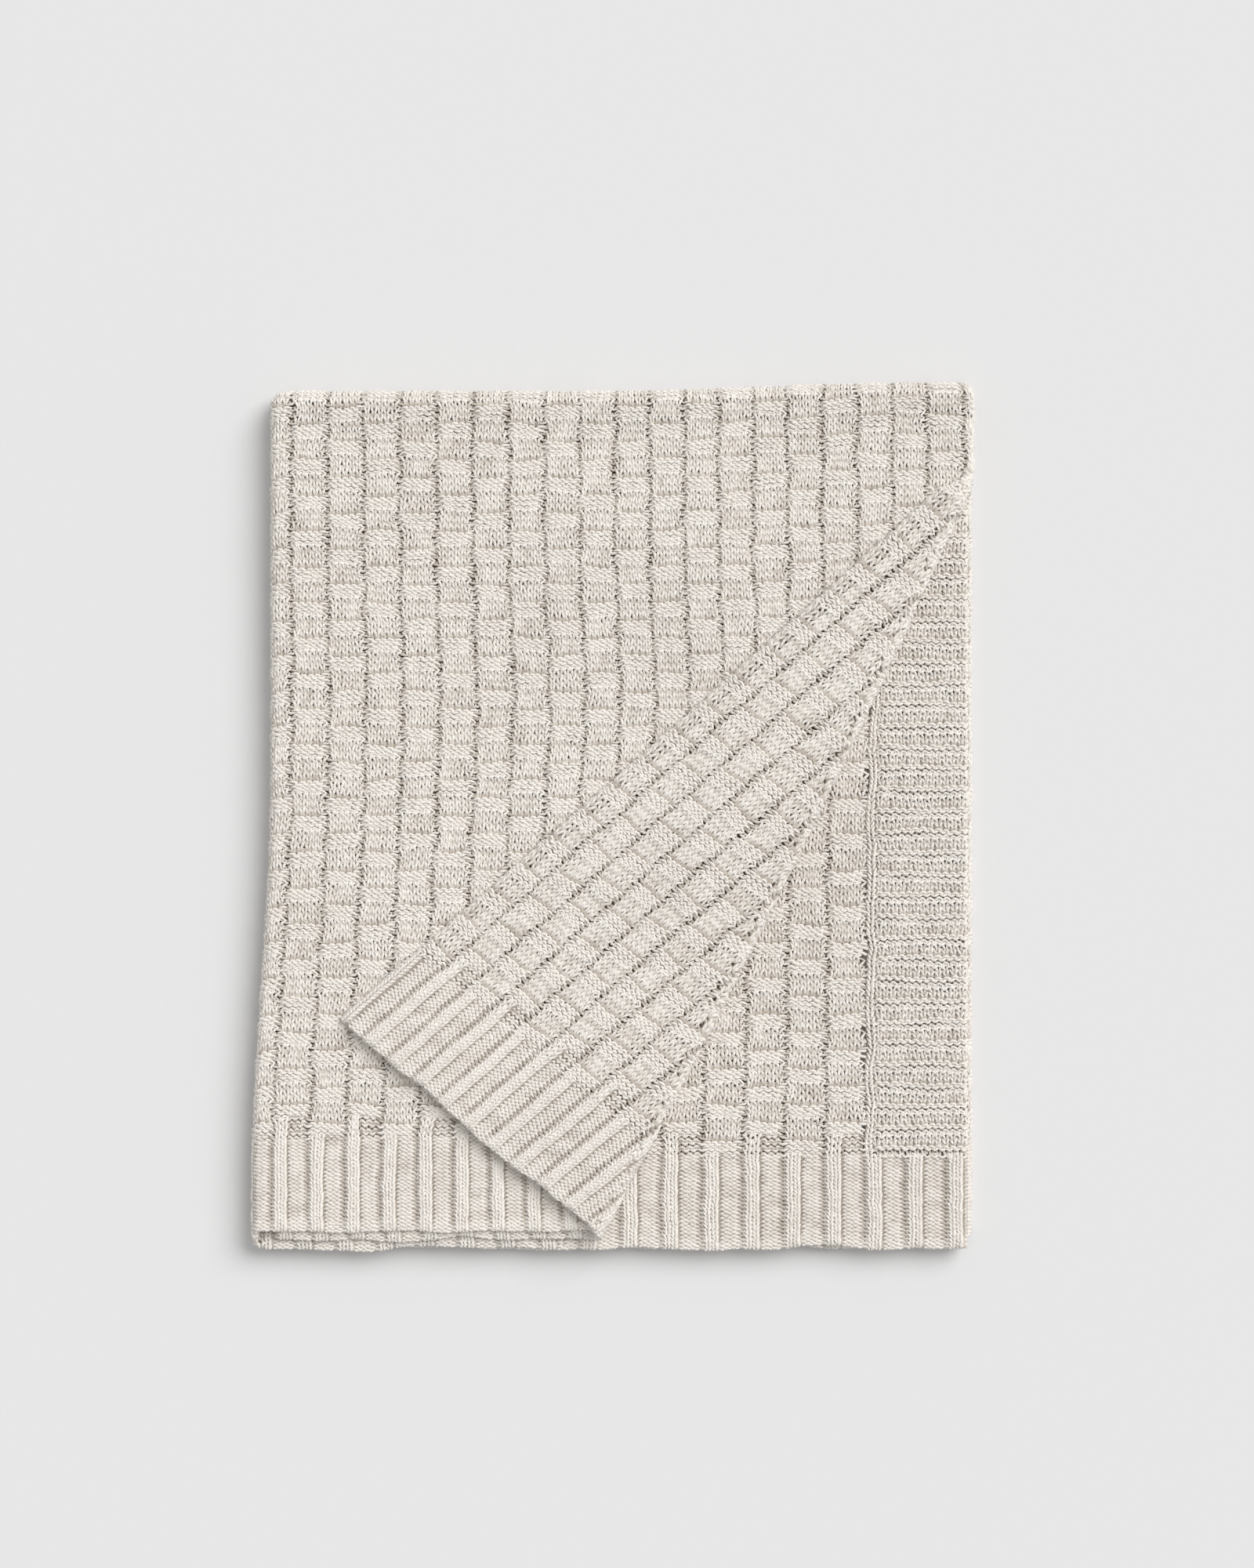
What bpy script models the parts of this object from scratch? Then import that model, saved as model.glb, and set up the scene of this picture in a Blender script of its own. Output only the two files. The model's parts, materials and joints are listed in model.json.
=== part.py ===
"""Knitted throw, folded in thirds and then in half, with one corner turned back.

The throw is one knitted cloth. Its stack has six layers: the outer, tucked and
inner thirds of the lower half, then the inner, tucked and outer thirds of the
upper half. The upper half is joined to the lower one round the top fold (+Y),
and the double corner of the outer and tucked thirds is turned back over a
slanting crease. Metres, +Z up, standing on Z = 0, centred on the Z axis.
"""

import math

import bmesh
import bpy
from mathutils import Matrix, Quaternion, Vector

# Driving dimensions.
WIDTH = 0.524  # folded width, left fold to right fold
DEPTH = 0.628  # top fold to the lowest rib hem
LAYER = 0.0040  # thickness of one layer of knitting
GAP = 0.0003  # clearance between two layers, and between two pieces of one layer
HEM = 0.070  # depth of the rib hem
SIDE_BORDER = 0.066  # width of the garter border at a free side edge
OUTER_STEP = 0.0145  # how far the outer third's hem stays back from the lowest hem
TUCKED_STEP = 0.0075  # the same, for the tucked third
INNER_INSET = 0.006  # inner third's free edge, in from the right fold
TUCKED_INSET = 0.018  # tucked third's free edge, in from the left fold
CREASE_HEAD_DROP = 0.070  # crease's upper end, down from the top fold, at the right side
CREASE_FOOT_IN = 0.2685  # crease's lower end, in from the right side, at the outer hem
FLAP_HEAD_RISE = 0.022  # the flap's folded edge starts this far above the crease's end
KNIT_TURN = math.radians(5.0)  # the knit gives, so the flap lies less steep than a mirror
KNIT_STRETCH = 1.08  # the flap's folded edge is this much longer than the side it came from
ARC_STEPS = 8  # flats in a quarter turn

# Worked out from them.
PITCH = LAYER + GAP
STACK = 6 * LAYER + 5 * GAP
LEFT, RIGHT = -WIDTH / 2, WIDTH / 2
TOP, LOWEST = DEPTH / 2, -DEPTH / 2
THICK_FOLD = (3 * LAYER + 2 * GAP) / 2  # radius of a fold round one tucked layer
FLAT_FOLD = (2 * LAYER + GAP) / 2  # radius of a fold with nothing inside
LEFT_CENTRE = LEFT + THICK_FOLD
RIGHT_CENTRE = RIGHT - FLAT_FOLD
TURN_START = TOP - 2 * THICK_FOLD  # where the top fold starts to turn
TURN_LEVEL = 2 * THICK_FOLD  # height of the lower half, and of the top fold's axis
CREASE_ROLL = 2 * LAYER + GAP  # outer radius of the turn at the crease
FAR = 2 * (WIDTH + DEPTH)  # longer than any piece

UP = Vector((0, 0, 1))
ALONG_X = Vector((1, 0, 0))
ALONG_Y = Vector((0, 1, 0))

CREASE_HEAD = Vector((RIGHT, TOP - CREASE_HEAD_DROP, 0))
CREASE_FOOT = Vector((RIGHT - CREASE_FOOT_IN, LOWEST + OUTER_STEP, 0))
CREASE = (CREASE_HEAD - CREASE_FOOT).normalized()
CREASE_OUT = Vector((CREASE.y, -CREASE.x, 0))
CREASE_CENTRE = CREASE_HEAD - CREASE_OUT * CREASE_ROLL
RIGHT_FOLD_END = CREASE_CENTRE.y + (RIGHT_CENTRE - CREASE_CENTRE.x) * CREASE.y / CREASE.x

FLAP_HEAD = CREASE_HEAD + ALONG_Y * FLAP_HEAD_RISE
FLAP_SIDE = CREASE * (2 * -CREASE.y) + ALONG_Y
FLAP_SIDE.rotate(Quaternion(UP, KNIT_TURN))
FLAP_CORNER = FLAP_HEAD + FLAP_SIDE * (FLAP_HEAD.y - CREASE_FOOT.y) * KNIT_STRETCH
FLAP_SIDE_OUT = Vector((FLAP_SIDE.y, -FLAP_SIDE.x, 0))
FLAP_HEM = (CREASE_FOOT - FLAP_CORNER).normalized()
FLAP_HEM_OUT = Vector((FLAP_HEM.y, -FLAP_HEM.x, 0))

FINISHES = {
    "field": (0.66, 0.62, 0.57, 1.0),
    "hem": (0.62, 0.58, 0.52, 1.0),
    "border": (0.70, 0.66, 0.61, 1.0),
    "fold": (0.58, 0.54, 0.49, 1.0),
}


def knit(kind):
    """The finish of one kind of knitting, made once and shared."""
    name = "knit_" + kind
    made = bpy.data.materials.get(name)
    if made is None:
        made = bpy.data.materials.new(name)
        made.use_nodes = True
        shader = made.node_tree.nodes["Principled BSDF"]
        shader.inputs["Base Color"].default_value = FINISHES[kind]
        shader.inputs["Roughness"].default_value = 0.9
        shader.inputs["Metallic"].default_value = 0.0
    return made


def pivot(name, place, parent):
    """An empty on a joint's axis. What turns with the joint is parented to it."""
    empty = bpy.data.objects.new(name, None)
    empty.location = place - (parent.matrix_world.translation if parent else Vector())
    empty.parent = parent
    bpy.context.scene.collection.objects.link(empty)
    bpy.context.view_layer.update()
    return empty


def place(bm, name, kind, parent):
    """Cleans the mesh and makes it a named object under its parent."""
    bmesh.ops.remove_doubles(bm, verts=bm.verts[:], dist=1e-6)
    bmesh.ops.dissolve_degenerate(bm, edges=bm.edges[:], dist=1e-7)
    bmesh.ops.recalc_face_normals(bm, faces=bm.faces[:])
    mesh = bpy.data.meshes.new(name)
    bm.to_mesh(mesh)
    bm.free()
    mesh.materials.append(knit(kind))
    obj = bpy.data.objects.new(name, mesh)
    if parent:
        mesh.transform(Matrix.Translation(-parent.matrix_world.translation))
        obj.parent = parent
    bpy.context.scene.collection.objects.link(obj)
    return obj


def loft(rings):
    """A closed mesh through rings of equally many points, capped at both ends."""
    bm = bmesh.new()
    loops = [[bm.verts.new(point) for point in ring] for ring in rings]
    count = len(loops[0])
    for near, far in zip(loops, loops[1:]):
        for i in range(count):
            j = (i + 1) % count
            bm.faces.new((near[i], near[j], far[j], far[i]))
    bm.faces.new(loops[0])
    bm.faces.new(loops[-1])
    return bm


def cut(bm, point, outward):
    """Takes away what lies past the plane through point, and closes the cut."""
    everything = bm.verts[:] + bm.edges[:] + bm.faces[:]
    bmesh.ops.bisect_plane(
        bm, geom=everything, plane_co=point, plane_no=outward, clear_outer=True
    )
    open_edges = [edge for edge in bm.edges if edge.is_boundary]
    if open_edges:
        bmesh.ops.holes_fill(bm, edges=open_edges)


def run(profile, across, along, cuts):
    """A profile of (across, height) points, run along a line and cut by planes."""
    ring = [across * a + UP * z for a, z in profile]
    bm = loft([[p - along * FAR for p in ring], [p + along * FAR for p in ring]])
    for point, outward in cuts:
        cut(bm, point, outward)
    return bm


def arc(centre, radius, start, stop):
    """Points of an arc round a 2-D centre, both ends included."""
    fine = ARC_STEPS if radius > LAYER / 4 else 1
    steps = round(fine * abs(stop - start) / (math.pi / 2))
    turns = [start + (stop - start) * i / steps for i in range(steps + 1)]
    a, z = centre
    return [(a + radius * math.cos(t), z + radius * math.sin(t)) for t in turns]


def slab(level):
    """A straight-sided profile of one layer, wide enough to be cut to any width."""
    low = level * PITCH
    return [(-FAR, low), (FAR, low), (FAR, low + LAYER), (-FAR, low + LAYER)]


def rolled(level, edge):
    """One layer's profile that ends in a rolled edge at the given distance."""
    low = level * PITCH
    half = LAYER / 2
    nose = arc((edge - half, low + half), half, -math.pi / 2, math.pi / 2)
    return [(-FAR, low)] + nose + [(-FAR, low + LAYER)]


def folded(centre, low, radius):
    """A C-shaped profile: one layer turned round through half a circle."""
    middle = (centre, low + radius)
    outside = arc(middle, radius, -math.pi / 2, math.pi / 2)
    inside = arc(middle, radius - LAYER, math.pi / 2, -math.pi / 2)
    return outside + inside


def other_side(profile):
    """The same profile with its open side facing the other way."""
    return [(-a, z) for a, z in profile]


def turned(profile, half):
    """A profile of (x, height) points carried a quarter turn round the top fold."""
    rings = []
    for i in range(ARC_STEPS + 1):
        angle = math.pi / 2 * i / ARC_STEPS
        ring = []
        for x, z in profile:
            reach = TURN_LEVEL - z
            y = TURN_START + reach * math.sin(angle)
            height = TURN_LEVEL - reach * math.cos(angle)
            ring.append(Vector((x, y, height if half == "lower" else STACK - height)))
        rings.append(ring)
    return rings


def side_and_turn(name, kind, parent, profile, start, half):
    """A side edge or fold: straight along Y from start, then round the top fold."""
    rings = turned(profile, half)
    rings.insert(0, [Vector((p.x, start, p.z)) for p in rings[0]])
    return place(loft(rings), name, kind, parent)


def top_turn(name, parent, level, x0, x1, half):
    """One layer's quarter turn round the top fold, between two side pieces."""
    low = level * PITCH
    high = low + LAYER
    profile = [(x0, low), (x1, low), (x1, high), (x0, high)]
    return place(loft(turned(profile, half)), name, "fold", parent)


def field(name, parent, level, cuts):
    """One layer's basket-weave field, cut to its outline."""
    return place(run(slab(level), ALONG_X, ALONG_Y, cuts), name, "field", parent)


def hem(name, parent, level, line, cuts):
    """One layer's rib hem. line is a point on its lower edge, its direction and out."""
    point, along, out = line
    inner_cut = (point - out * (HEM - GAP), -out)
    profile = rolled(level, point.dot(out))
    made = run(profile, out, along, [inner_cut] + cuts)
    return place(made, name, "hem", parent)


def at_x(x, side):
    """A cutting plane across X. side is 1 to keep what is below x, or -1 for above."""
    return Vector((x, 0, 0)), ALONG_X * side


def at_y(y, side):
    """The same, across Y."""
    return Vector((0, y, 0)), ALONG_Y * side


def thirds():
    """Each third's hem edge and the X range of its field and hem."""
    beside_border = LEFT + TUCKED_INSET + SIDE_BORDER + GAP
    before_border = RIGHT - INNER_INSET - SIDE_BORDER - GAP
    return {
        "outer": (LOWEST + OUTER_STEP, LEFT_CENTRE + GAP, RIGHT_CENTRE - GAP),
        "tucked": (LOWEST + TUCKED_STEP, beside_border, RIGHT_CENTRE - GAP),
        "inner": (LOWEST, LEFT_CENTRE + GAP, before_border),
    }


def half_stack(half, parent):
    """One half's three thirds: field, hem, and quarter turn round the top fold."""
    crease_cut = (CREASE_CENTRE - CREASE_OUT * GAP, CREASE_OUT)
    for depth, (third, (edge, x0, x1)) in enumerate(thirds().items()):
        level = depth if half == "lower" else 5 - depth
        cuts = [at_x(x0, -1), at_x(x1, 1)]
        if half == "upper" and third != "inner":
            cuts.append(crease_cut)
        ends = [at_y(edge + HEM, -1), at_y(TURN_START - GAP, 1)]
        line = (Vector((0, edge, 0)), ALONG_X, -ALONG_Y)
        field(f"{half}_{third}_field", parent, level, cuts + ends)
        hem(f"{half}_{third}_hem", parent, level, line, cuts)
        top_turn(f"{half}_{third}_top_turn", parent, depth, x0, x1, half)


def border_profile(level, edge, side):
    """A garter border's profile, with its rolled free edge at X = edge."""
    inner = edge * side - SIDE_BORDER
    profile = [(max(a, inner), z) for a, z in rolled(level, edge * side)]
    return profile if side > 0 else other_side(profile)


def side_pieces(half, parent, right_start):
    """One half's left and right folds and its two garter borders."""
    outer_edge = LOWEST + OUTER_STEP
    tucked = border_profile(1, LEFT + TUCKED_INSET, -1)
    inner = border_profile(2, RIGHT - INNER_INSET, 1)
    left = other_side(folded(-LEFT_CENTRE, 0, THICK_FOLD))
    right = folded(RIGHT_CENTRE, 0, FLAT_FOLD)
    for name, kind, profile, start in (
        ("tucked_border", "border", tucked, LOWEST + TUCKED_STEP),
        ("inner_border", "border", inner, LOWEST),
        ("left_fold", "fold", left, outer_edge),
        ("right_fold", "fold", right, right_start),
    ):
        side_and_turn(f"{half}_{name}", kind, parent, profile, start, half)


def crease_rolls(body, parent, height, start, cuts):
    """The two layers' quarter turns at the crease, one round the other."""
    centre = (CREASE_CENTRE.dot(CREASE_OUT), height)
    stop = start + math.pi / 2
    core = arc(centre, LAYER, start, stop) + [centre]
    cover = arc(centre, CREASE_ROLL, start, stop) + arc(centre, PITCH, stop, start)
    for name, profile in (("outer_crease", core), ("tucked_crease", cover)):
        made = run(profile, CREASE_OUT, CREASE, cuts)
        place(made, f"{body}_{name}", "fold", parent)


def flap(parent):
    """The turned-back corner: two layers with their hems, folded edge and crease."""
    crease_cut = (CREASE_CENTRE - CREASE_OUT * GAP, CREASE_OUT)
    side_cut = (FLAP_HEAD - FLAP_SIDE_OUT * (FLAT_FOLD + GAP), FLAP_SIDE_OUT)
    hem_line = (FLAP_CORNER, FLAP_HEM, FLAP_HEM_OUT)
    right_cut = at_x(RIGHT, 1)
    field_end = (FLAP_CORNER - FLAP_HEM_OUT * HEM, FLAP_HEM_OUT)
    for level, third in ((6, "outer"), (7, "tucked")):
        cuts = [crease_cut, side_cut, right_cut]
        field(f"flap_{third}_field", parent, level, cuts + [field_end])
        hem(f"flap_{third}_hem", parent, level, hem_line, cuts)
    edge = FLAP_HEAD.dot(FLAP_SIDE_OUT) - FLAT_FOLD
    hem_end = (FLAP_CORNER, FLAP_HEM_OUT)
    cuts = [crease_cut, right_cut, hem_end]
    profile = folded(edge, 6 * PITCH, FLAT_FOLD)
    made = run(profile, FLAP_SIDE_OUT, FLAP_SIDE, cuts)
    place(made, "flap_folded_edge", "fold", parent)
    cuts = [right_cut, hem_end, (FLAP_HEAD, FLAP_SIDE_OUT)]
    crease_rolls("flap", parent, STACK + GAP, 0, cuts)


def main():
    """Builds the lower half, the upper half on its hinge and the flap on the crease."""
    for obj in list(bpy.data.objects):
        bpy.data.objects.remove(obj)
    half_stack("lower", None)
    side_pieces("lower", None, LOWEST + OUTER_STEP)
    half_fold = pivot("half_fold_axis", Vector((0, TOP, STACK / 2)), None)
    half_stack("upper", half_fold)
    side_pieces("upper", half_fold, RIGHT_FOLD_END + GAP)
    cuts = [at_y(RIGHT_FOLD_END, 1), at_x(RIGHT, 1), at_y(LOWEST + OUTER_STEP, -1)]
    crease_rolls("upper", half_fold, STACK, -math.pi / 2, cuts)
    crease = pivot("crease_axis", CREASE_HEAD + UP * (STACK + GAP / 2), half_fold)
    flap(crease)


main()
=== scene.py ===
"""Folded knit throw: its cloth and every visible stitch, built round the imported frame."""

import json
import logging
import math
from dataclasses import dataclass, field
from enum import Enum
from typing import Any, Callable

import bpy
import numpy as np
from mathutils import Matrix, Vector

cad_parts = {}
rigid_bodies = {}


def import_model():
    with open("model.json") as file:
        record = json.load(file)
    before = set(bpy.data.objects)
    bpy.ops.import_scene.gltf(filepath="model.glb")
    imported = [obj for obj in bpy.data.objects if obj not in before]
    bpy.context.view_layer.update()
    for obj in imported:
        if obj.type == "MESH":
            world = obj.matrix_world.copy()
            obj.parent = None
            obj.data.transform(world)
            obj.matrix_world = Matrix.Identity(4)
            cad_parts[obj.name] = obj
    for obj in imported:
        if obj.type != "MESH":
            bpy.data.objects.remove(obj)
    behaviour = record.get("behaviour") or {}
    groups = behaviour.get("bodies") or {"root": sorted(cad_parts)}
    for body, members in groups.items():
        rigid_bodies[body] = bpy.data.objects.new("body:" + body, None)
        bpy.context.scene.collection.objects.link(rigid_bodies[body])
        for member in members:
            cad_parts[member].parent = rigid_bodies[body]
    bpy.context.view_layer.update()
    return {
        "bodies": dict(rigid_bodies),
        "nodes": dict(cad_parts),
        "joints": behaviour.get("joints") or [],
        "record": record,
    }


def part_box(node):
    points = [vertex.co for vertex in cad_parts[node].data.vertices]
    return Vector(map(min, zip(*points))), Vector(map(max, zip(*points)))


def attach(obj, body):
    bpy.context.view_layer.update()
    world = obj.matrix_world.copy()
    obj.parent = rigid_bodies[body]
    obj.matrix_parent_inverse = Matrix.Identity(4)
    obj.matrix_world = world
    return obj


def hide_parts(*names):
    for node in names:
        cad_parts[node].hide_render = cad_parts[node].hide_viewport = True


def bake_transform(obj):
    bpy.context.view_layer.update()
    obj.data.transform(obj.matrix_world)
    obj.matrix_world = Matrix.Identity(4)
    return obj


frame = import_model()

LOG = logging.getLogger("throw")
SEED = 7
TAU = 2 * math.pi

# One check of the basket knit: its width and length, and the wales and courses in it.
COLUMN = 0.0264
CHECK = 0.0263
WALES = 5
COURSES = 6

Array = np.ndarray


class Side(Enum):
    """The two sides of the cloth: the face shows outside on the folded throw."""

    FACE = 1.0
    REVERSE = -1.0


class Knit(Enum):
    """The ways that the cloth is knitted."""

    BASKET = "basket_knit"
    RIB = "rib_knit"
    GARTER = "garter_knit"
    TURNED = "turned_knit"


class Move(Enum):
    """What a piece moves with: one body; a piece on the turn between two of them stays where it is
    built.
    """

    LOWER = "lower_half"
    UPPER = "upper_half"
    FLAP = "corner_flap"
    TOP = "top_turn"
    CREASE = "crease"


def smooth(low: float, high: float, x: Array) -> Array:
    """A smooth step from 0 at low to 1 at high."""
    t = np.clip((np.asarray(x, float) - low) / (high - low), 0.0, 1.0)
    return t * t * (3.0 - 2.0 * t)


class Ripple:
    """Low, repeatable unevenness: a sum of sines with seeded directions."""

    def __init__(self, seed: int, longest: float, shortest: float, waves: int = 14) -> None:
        """Draws the waves.

        Args:
            seed: Seed of the draw.
            longest: Longest wavelength in metres.
            shortest: Shortest wavelength in metres.
            waves: How many waves are summed.
        """
        draw = np.random.default_rng(seed)
        lengths = np.geomspace(longest, shortest, waves)
        turns = draw.uniform(0, TAU, waves)
        self.kx = TAU / lengths * np.cos(turns)
        self.ky = TAU / lengths * np.sin(turns)
        self.phase = draw.uniform(0, TAU, waves)
        self.size = (lengths / longest) ** 0.5
        self.size /= math.sqrt(float((self.size**2).sum()) / 2)

    def __call__(self, x: Array, y: Array) -> Array:
        """The unevenness at x, y, with a spread of about 1."""
        total = np.zeros(np.broadcast(x, y).shape)
        for kx, ky, phase, size in zip(self.kx, self.ky, self.phase, self.size):
            total += size * np.sin(kx * x + ky * y + phase)
        return total


@dataclass(frozen=True)
class Layout:
    """Sizes of the folded stack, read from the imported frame, in metres."""

    left: float
    right: float
    top: float
    layer: float
    pitch: float
    stack: float
    lowest: float
    inner_edge: float
    tucked_edge: float
    hinge: tuple[float, float, float]
    crease: tuple[float, float]
    corner: tuple[float, float]

    @classmethod
    def from_frame(cls, packed: dict[str, Any]) -> "Layout":
        """Reads the sizes.


        Returns:
            The layout.
        """
        joint = next(j for j in packed["joints"] if j["name"] == "corner_crease")
        low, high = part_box("lower_outer_field")
        next_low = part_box("lower_tucked_field")[0]
        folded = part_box("flap_folded_edge")[0]
        size = math.hypot(joint["axis"][0], joint["axis"][1])
        return cls(
            left=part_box("lower_left_fold")[0].x,
            right=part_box("lower_right_fold")[1].x,
            top=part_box("lower_outer_top_turn")[1].y,
            layer=high.z - low.z,
            pitch=next_low.z - low.z,
            stack=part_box("upper_outer_field")[1].z,
            lowest=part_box("lower_inner_hem")[0].y,
            inner_edge=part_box("lower_inner_border")[1].x,
            tucked_edge=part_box("lower_tucked_border")[0].x,
            hinge=tuple(joint["pos_m"]),
            crease=(joint["axis"][0] / size, joint["axis"][1] / size),
            corner=(folded.x, folded.y),
        )


@dataclass(frozen=True)
class Softness:
    """How far the stack strays from square and flat, in metres or in shares of its size."""

    corner_round: float = 0.011
    corner_reach: float = 0.05
    right_corner: float = 0.7
    left_pull: float = 0.0125
    left_return: float = 1.1
    return_over: tuple[float, float] = (0.45, 0.93)
    waist: float = 0.004
    waist_at: float = 0.36
    waist_width: float = 0.10
    top_rise: float = 0.0018
    top_fall: float = 0.0063
    hem_reach: float = 0.06
    hem_wander: float = 0.0011
    layer_drift: float = 9
    head_pull: float = 0.020
    head_fade: float = 0.16
    head_start: float = 0.04
    pull_reach: float = 0.25
    crease_length: float = 0.62
    bulge: float = 0.009
    bulge_fade: float = 0.03
    puff: float = 0.0035
    puff_all: float = 0.0004
    puff_at: float = 0.035
    puff_width: float = 0.045
    puff_start: float = 0.06
    wave: float = 0.0009
    wave_start: float = 0.06


class Cloth:
    """Where each point of the flat cloth lies when the throw is folded.

    A point of the cloth is (s, v). s runs across the wales and equals X on the outer
    third; v runs along the wales from the middle of the top fold, positive to the
    upper half's hem and negative to the lower half's.
    """

    def __init__(self, layout: Layout) -> None:
        """Works out the folds' centres and lengths.

        Args:
            layout: Sizes of the folded stack.
        """
        lay = self.lay = layout
        self.soft = Softness()
        self.middle = lay.stack / 2
        self.heights = [lay.layer / 2 + n * lay.pitch for n in range(3)]
        self.left_radius, self.right_radius = lay.pitch, lay.pitch / 2
        self.left_x = lay.left + lay.pitch + lay.layer / 2
        self.right_x = lay.right - lay.pitch / 2 - lay.layer / 2
        self.turn_y = lay.top - self.middle
        self.inner_start = self.left_x - math.pi * self.left_radius
        self.tucked_start = self.right_x + math.pi * self.right_radius
        self.s_min = self.inner_start - (lay.inner_edge - self.left_x)
        self.s_max = self.tucked_start + (self.right_x - lay.tucked_edge)
        inner_turn = (self.middle - self.heights[2]) * math.pi / 2
        self.v_max = self.turn_y - lay.lowest + inner_turn
        self.along = np.array([*lay.crease, 0.0])
        self.out = np.array([lay.crease[1], -lay.crease[0], 0.0])
        self.roll = 2 * lay.layer + (lay.pitch - lay.layer)
        self.head = np.array(lay.hinge)
        self.centre = self.head - self.out * self.roll
        self.shear, self.squeeze = self._give()
        self.wave = Ripple(SEED, 0.34, 0.09, 8)
        self.drift = Ripple(SEED + 1, 0.16, 0.03, 12)

    def _give(self) -> tuple[float, float]:
        """How the flap gives so that its corner lies where the frame has it.

        Returns:
            How far it leans along the crease, and to what share it narrows.
        """
        side = self.lay.right
        start = np.array([side, self.head[1], 0.0])
        plain = self.reflect(np.array([side, self.hem_y(0), 0.0]))
        goal = np.array([*self.lay.corner, 0.0])
        from_plain, from_goal = plain - start, goal - start
        reach_plain = -from_plain @ self.out
        reach_goal = -from_goal @ self.out
        lean = (from_goal - from_plain) @ self.along / reach_plain
        return float(lean), float(reach_goal / reach_plain)

    def reflect(self, point: Array) -> Array:
        """A point mirrored in the crease's hinge line, seen from above."""
        away = (point - self.head) @ self.out
        return point - 2 * away * self.out

    def hem_y(self, third: int) -> float:
        """Y of the hem edge of the outer (0), tucked (1) or inner (2) third."""
        turn = (self.middle - self.heights[third]) * math.pi / 2
        return self.turn_y - (self.v_max - turn)

    def across(self, s: Array) -> tuple[Array, Array]:
        """X and height in the lower half's stack.

        Args:
            s: Places across the cloth.

        Returns:
            Their X, and the height of their layer's middle.
        """
        left_turn = np.clip((self.left_x - s) / self.left_radius, 0, math.pi)
        right_turn = np.clip((s - self.right_x) / self.right_radius, 0, math.pi)
        x = np.clip(s, self.left_x, self.right_x)
        x = x - self.left_radius * np.sin(left_turn) + self.right_radius * np.sin(right_turn)
        x = x + np.maximum(self.inner_start - s, 0) - np.maximum(s - self.tucked_start, 0)
        height = self.heights[0] + self.left_radius * (1 - np.cos(left_turn))
        height = height + self.right_radius * (1 - np.cos(right_turn))
        return x, height

    def stacked(self, s: Array, v: Array) -> Array:
        """Points of the square stack, before the corner is turned back.

        Args:
            s: Places across the cloth.
            v: Places along the cloth.

        Returns:
            Points, one row of three for each place.
        """
        x, height = self.across(s)
        reach = self.middle - height
        length = reach * math.pi / 2
        turn = np.clip(np.abs(v) / reach, 0, math.pi / 2)
        y = self.turn_y + reach * np.cos(turn) - np.maximum(np.abs(v) - length, 0)
        z = self.middle + np.sign(v) * reach * np.sin(turn)
        return np.stack([x, y, z], -1)

    def crease_turn(self, p: Array) -> tuple[Array, Array, Array]:
        """How far the crease's roll has turned points of the stack.

        Args:
            p: Points of the stack.

        Returns:
            How far past the roll's start they are, and the roll's radius and turn there.
        """
        past = (p - self.centre) @ self.out
        radius = np.maximum(self.head[2] - p[..., 2], 1e-4)
        return past, radius, np.clip(past / radius, 0, math.pi)

    def place(self, s: Array, v: Array) -> Array:
        """Where the cloth's middle surface lies on the folded throw.

        Args:
            s: Places across the cloth.
            v: Places along the cloth.

        Returns:
            Points, one row of three for each place.
        """
        s, v = np.broadcast_arrays(np.asarray(s, float), np.asarray(v, float))
        p = self.stacked(s, v)
        p = p + self.lean(p)
        past, radius, turn = self.crease_turn(p)
        folds = (s > self.inner_start) & (v > 0) & (past > 0)
        line = (p - self.head) @ self.along
        flat = np.maximum(past - math.pi * radius, 0)
        line = line + self.shear * flat + self.rise(line, flat) * np.sin(turn / 2) ** 2
        flat = flat * self.squeeze
        bulge = self.crease_bulge(line) * np.sin(turn / 2) ** 2
        outward = radius * np.sin(turn) - flat + bulge * np.exp(-flat / self.soft.bulge_fade)
        up = self.head[2] - radius * np.cos(turn) + self.puff(line, flat, turn)
        turned = self.head + line[..., None] * self.along
        turned = turned + (outward - self.roll)[..., None] * self.out
        turned[..., 2] = up
        p = np.where(folds[..., None], turned, p)
        return self.settle(p)

    def lean(self, p: Array) -> Array:
        """How far points shift in X and Y, where the throw isn't square.

        Args:
            p: Points of the square stack.

        Returns:
            Their shifts, with no change of height.
        """
        lay, soft = self.lay, self.soft
        down = np.clip((lay.top - p[..., 1]) / (lay.top - lay.lowest), 0, 1)
        side = np.clip((lay.right - p[..., 0]) / (lay.right - lay.left), 0, 1)
        pull = soft.left_pull * (1 - soft.left_return * smooth(*soft.return_over, down))
        waist = soft.waist * np.exp(-(((down - soft.waist_at) / soft.waist_width) ** 2))
        shift = np.zeros_like(p)
        shift[..., 0] = pull * smooth(0.0, 0.7, side)
        shift[..., 0] += waist * np.sin(math.pi * side)
        high = np.clip((p[..., 1] - lay.top) / soft.corner_round + 1, 0, 1)
        round_off = soft.corner_round * (1 - np.sqrt(np.maximum(1 - high**2, 0)))
        from_left, from_right = p[..., 0] - lay.left, lay.right - p[..., 0]
        shift[..., 0] += round_off * (1 - smooth(0, soft.corner_reach, from_left))
        near_right = 1 - smooth(0, soft.corner_reach, from_right)
        shift[..., 0] -= soft.right_corner * round_off * near_right
        slant = soft.top_rise - soft.top_fall * smooth(0.05, 0.55, side)
        shift[..., 1] = slant * (1 - smooth(0.0, 0.6, down))
        hem = 1 - smooth(0.0, soft.hem_reach, p[..., 1] - lay.lowest)
        wander = self.drift(p[..., 0], soft.layer_drift * p[..., 2])
        shift[..., 1] += soft.hem_wander * hem * wander
        return shift

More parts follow.
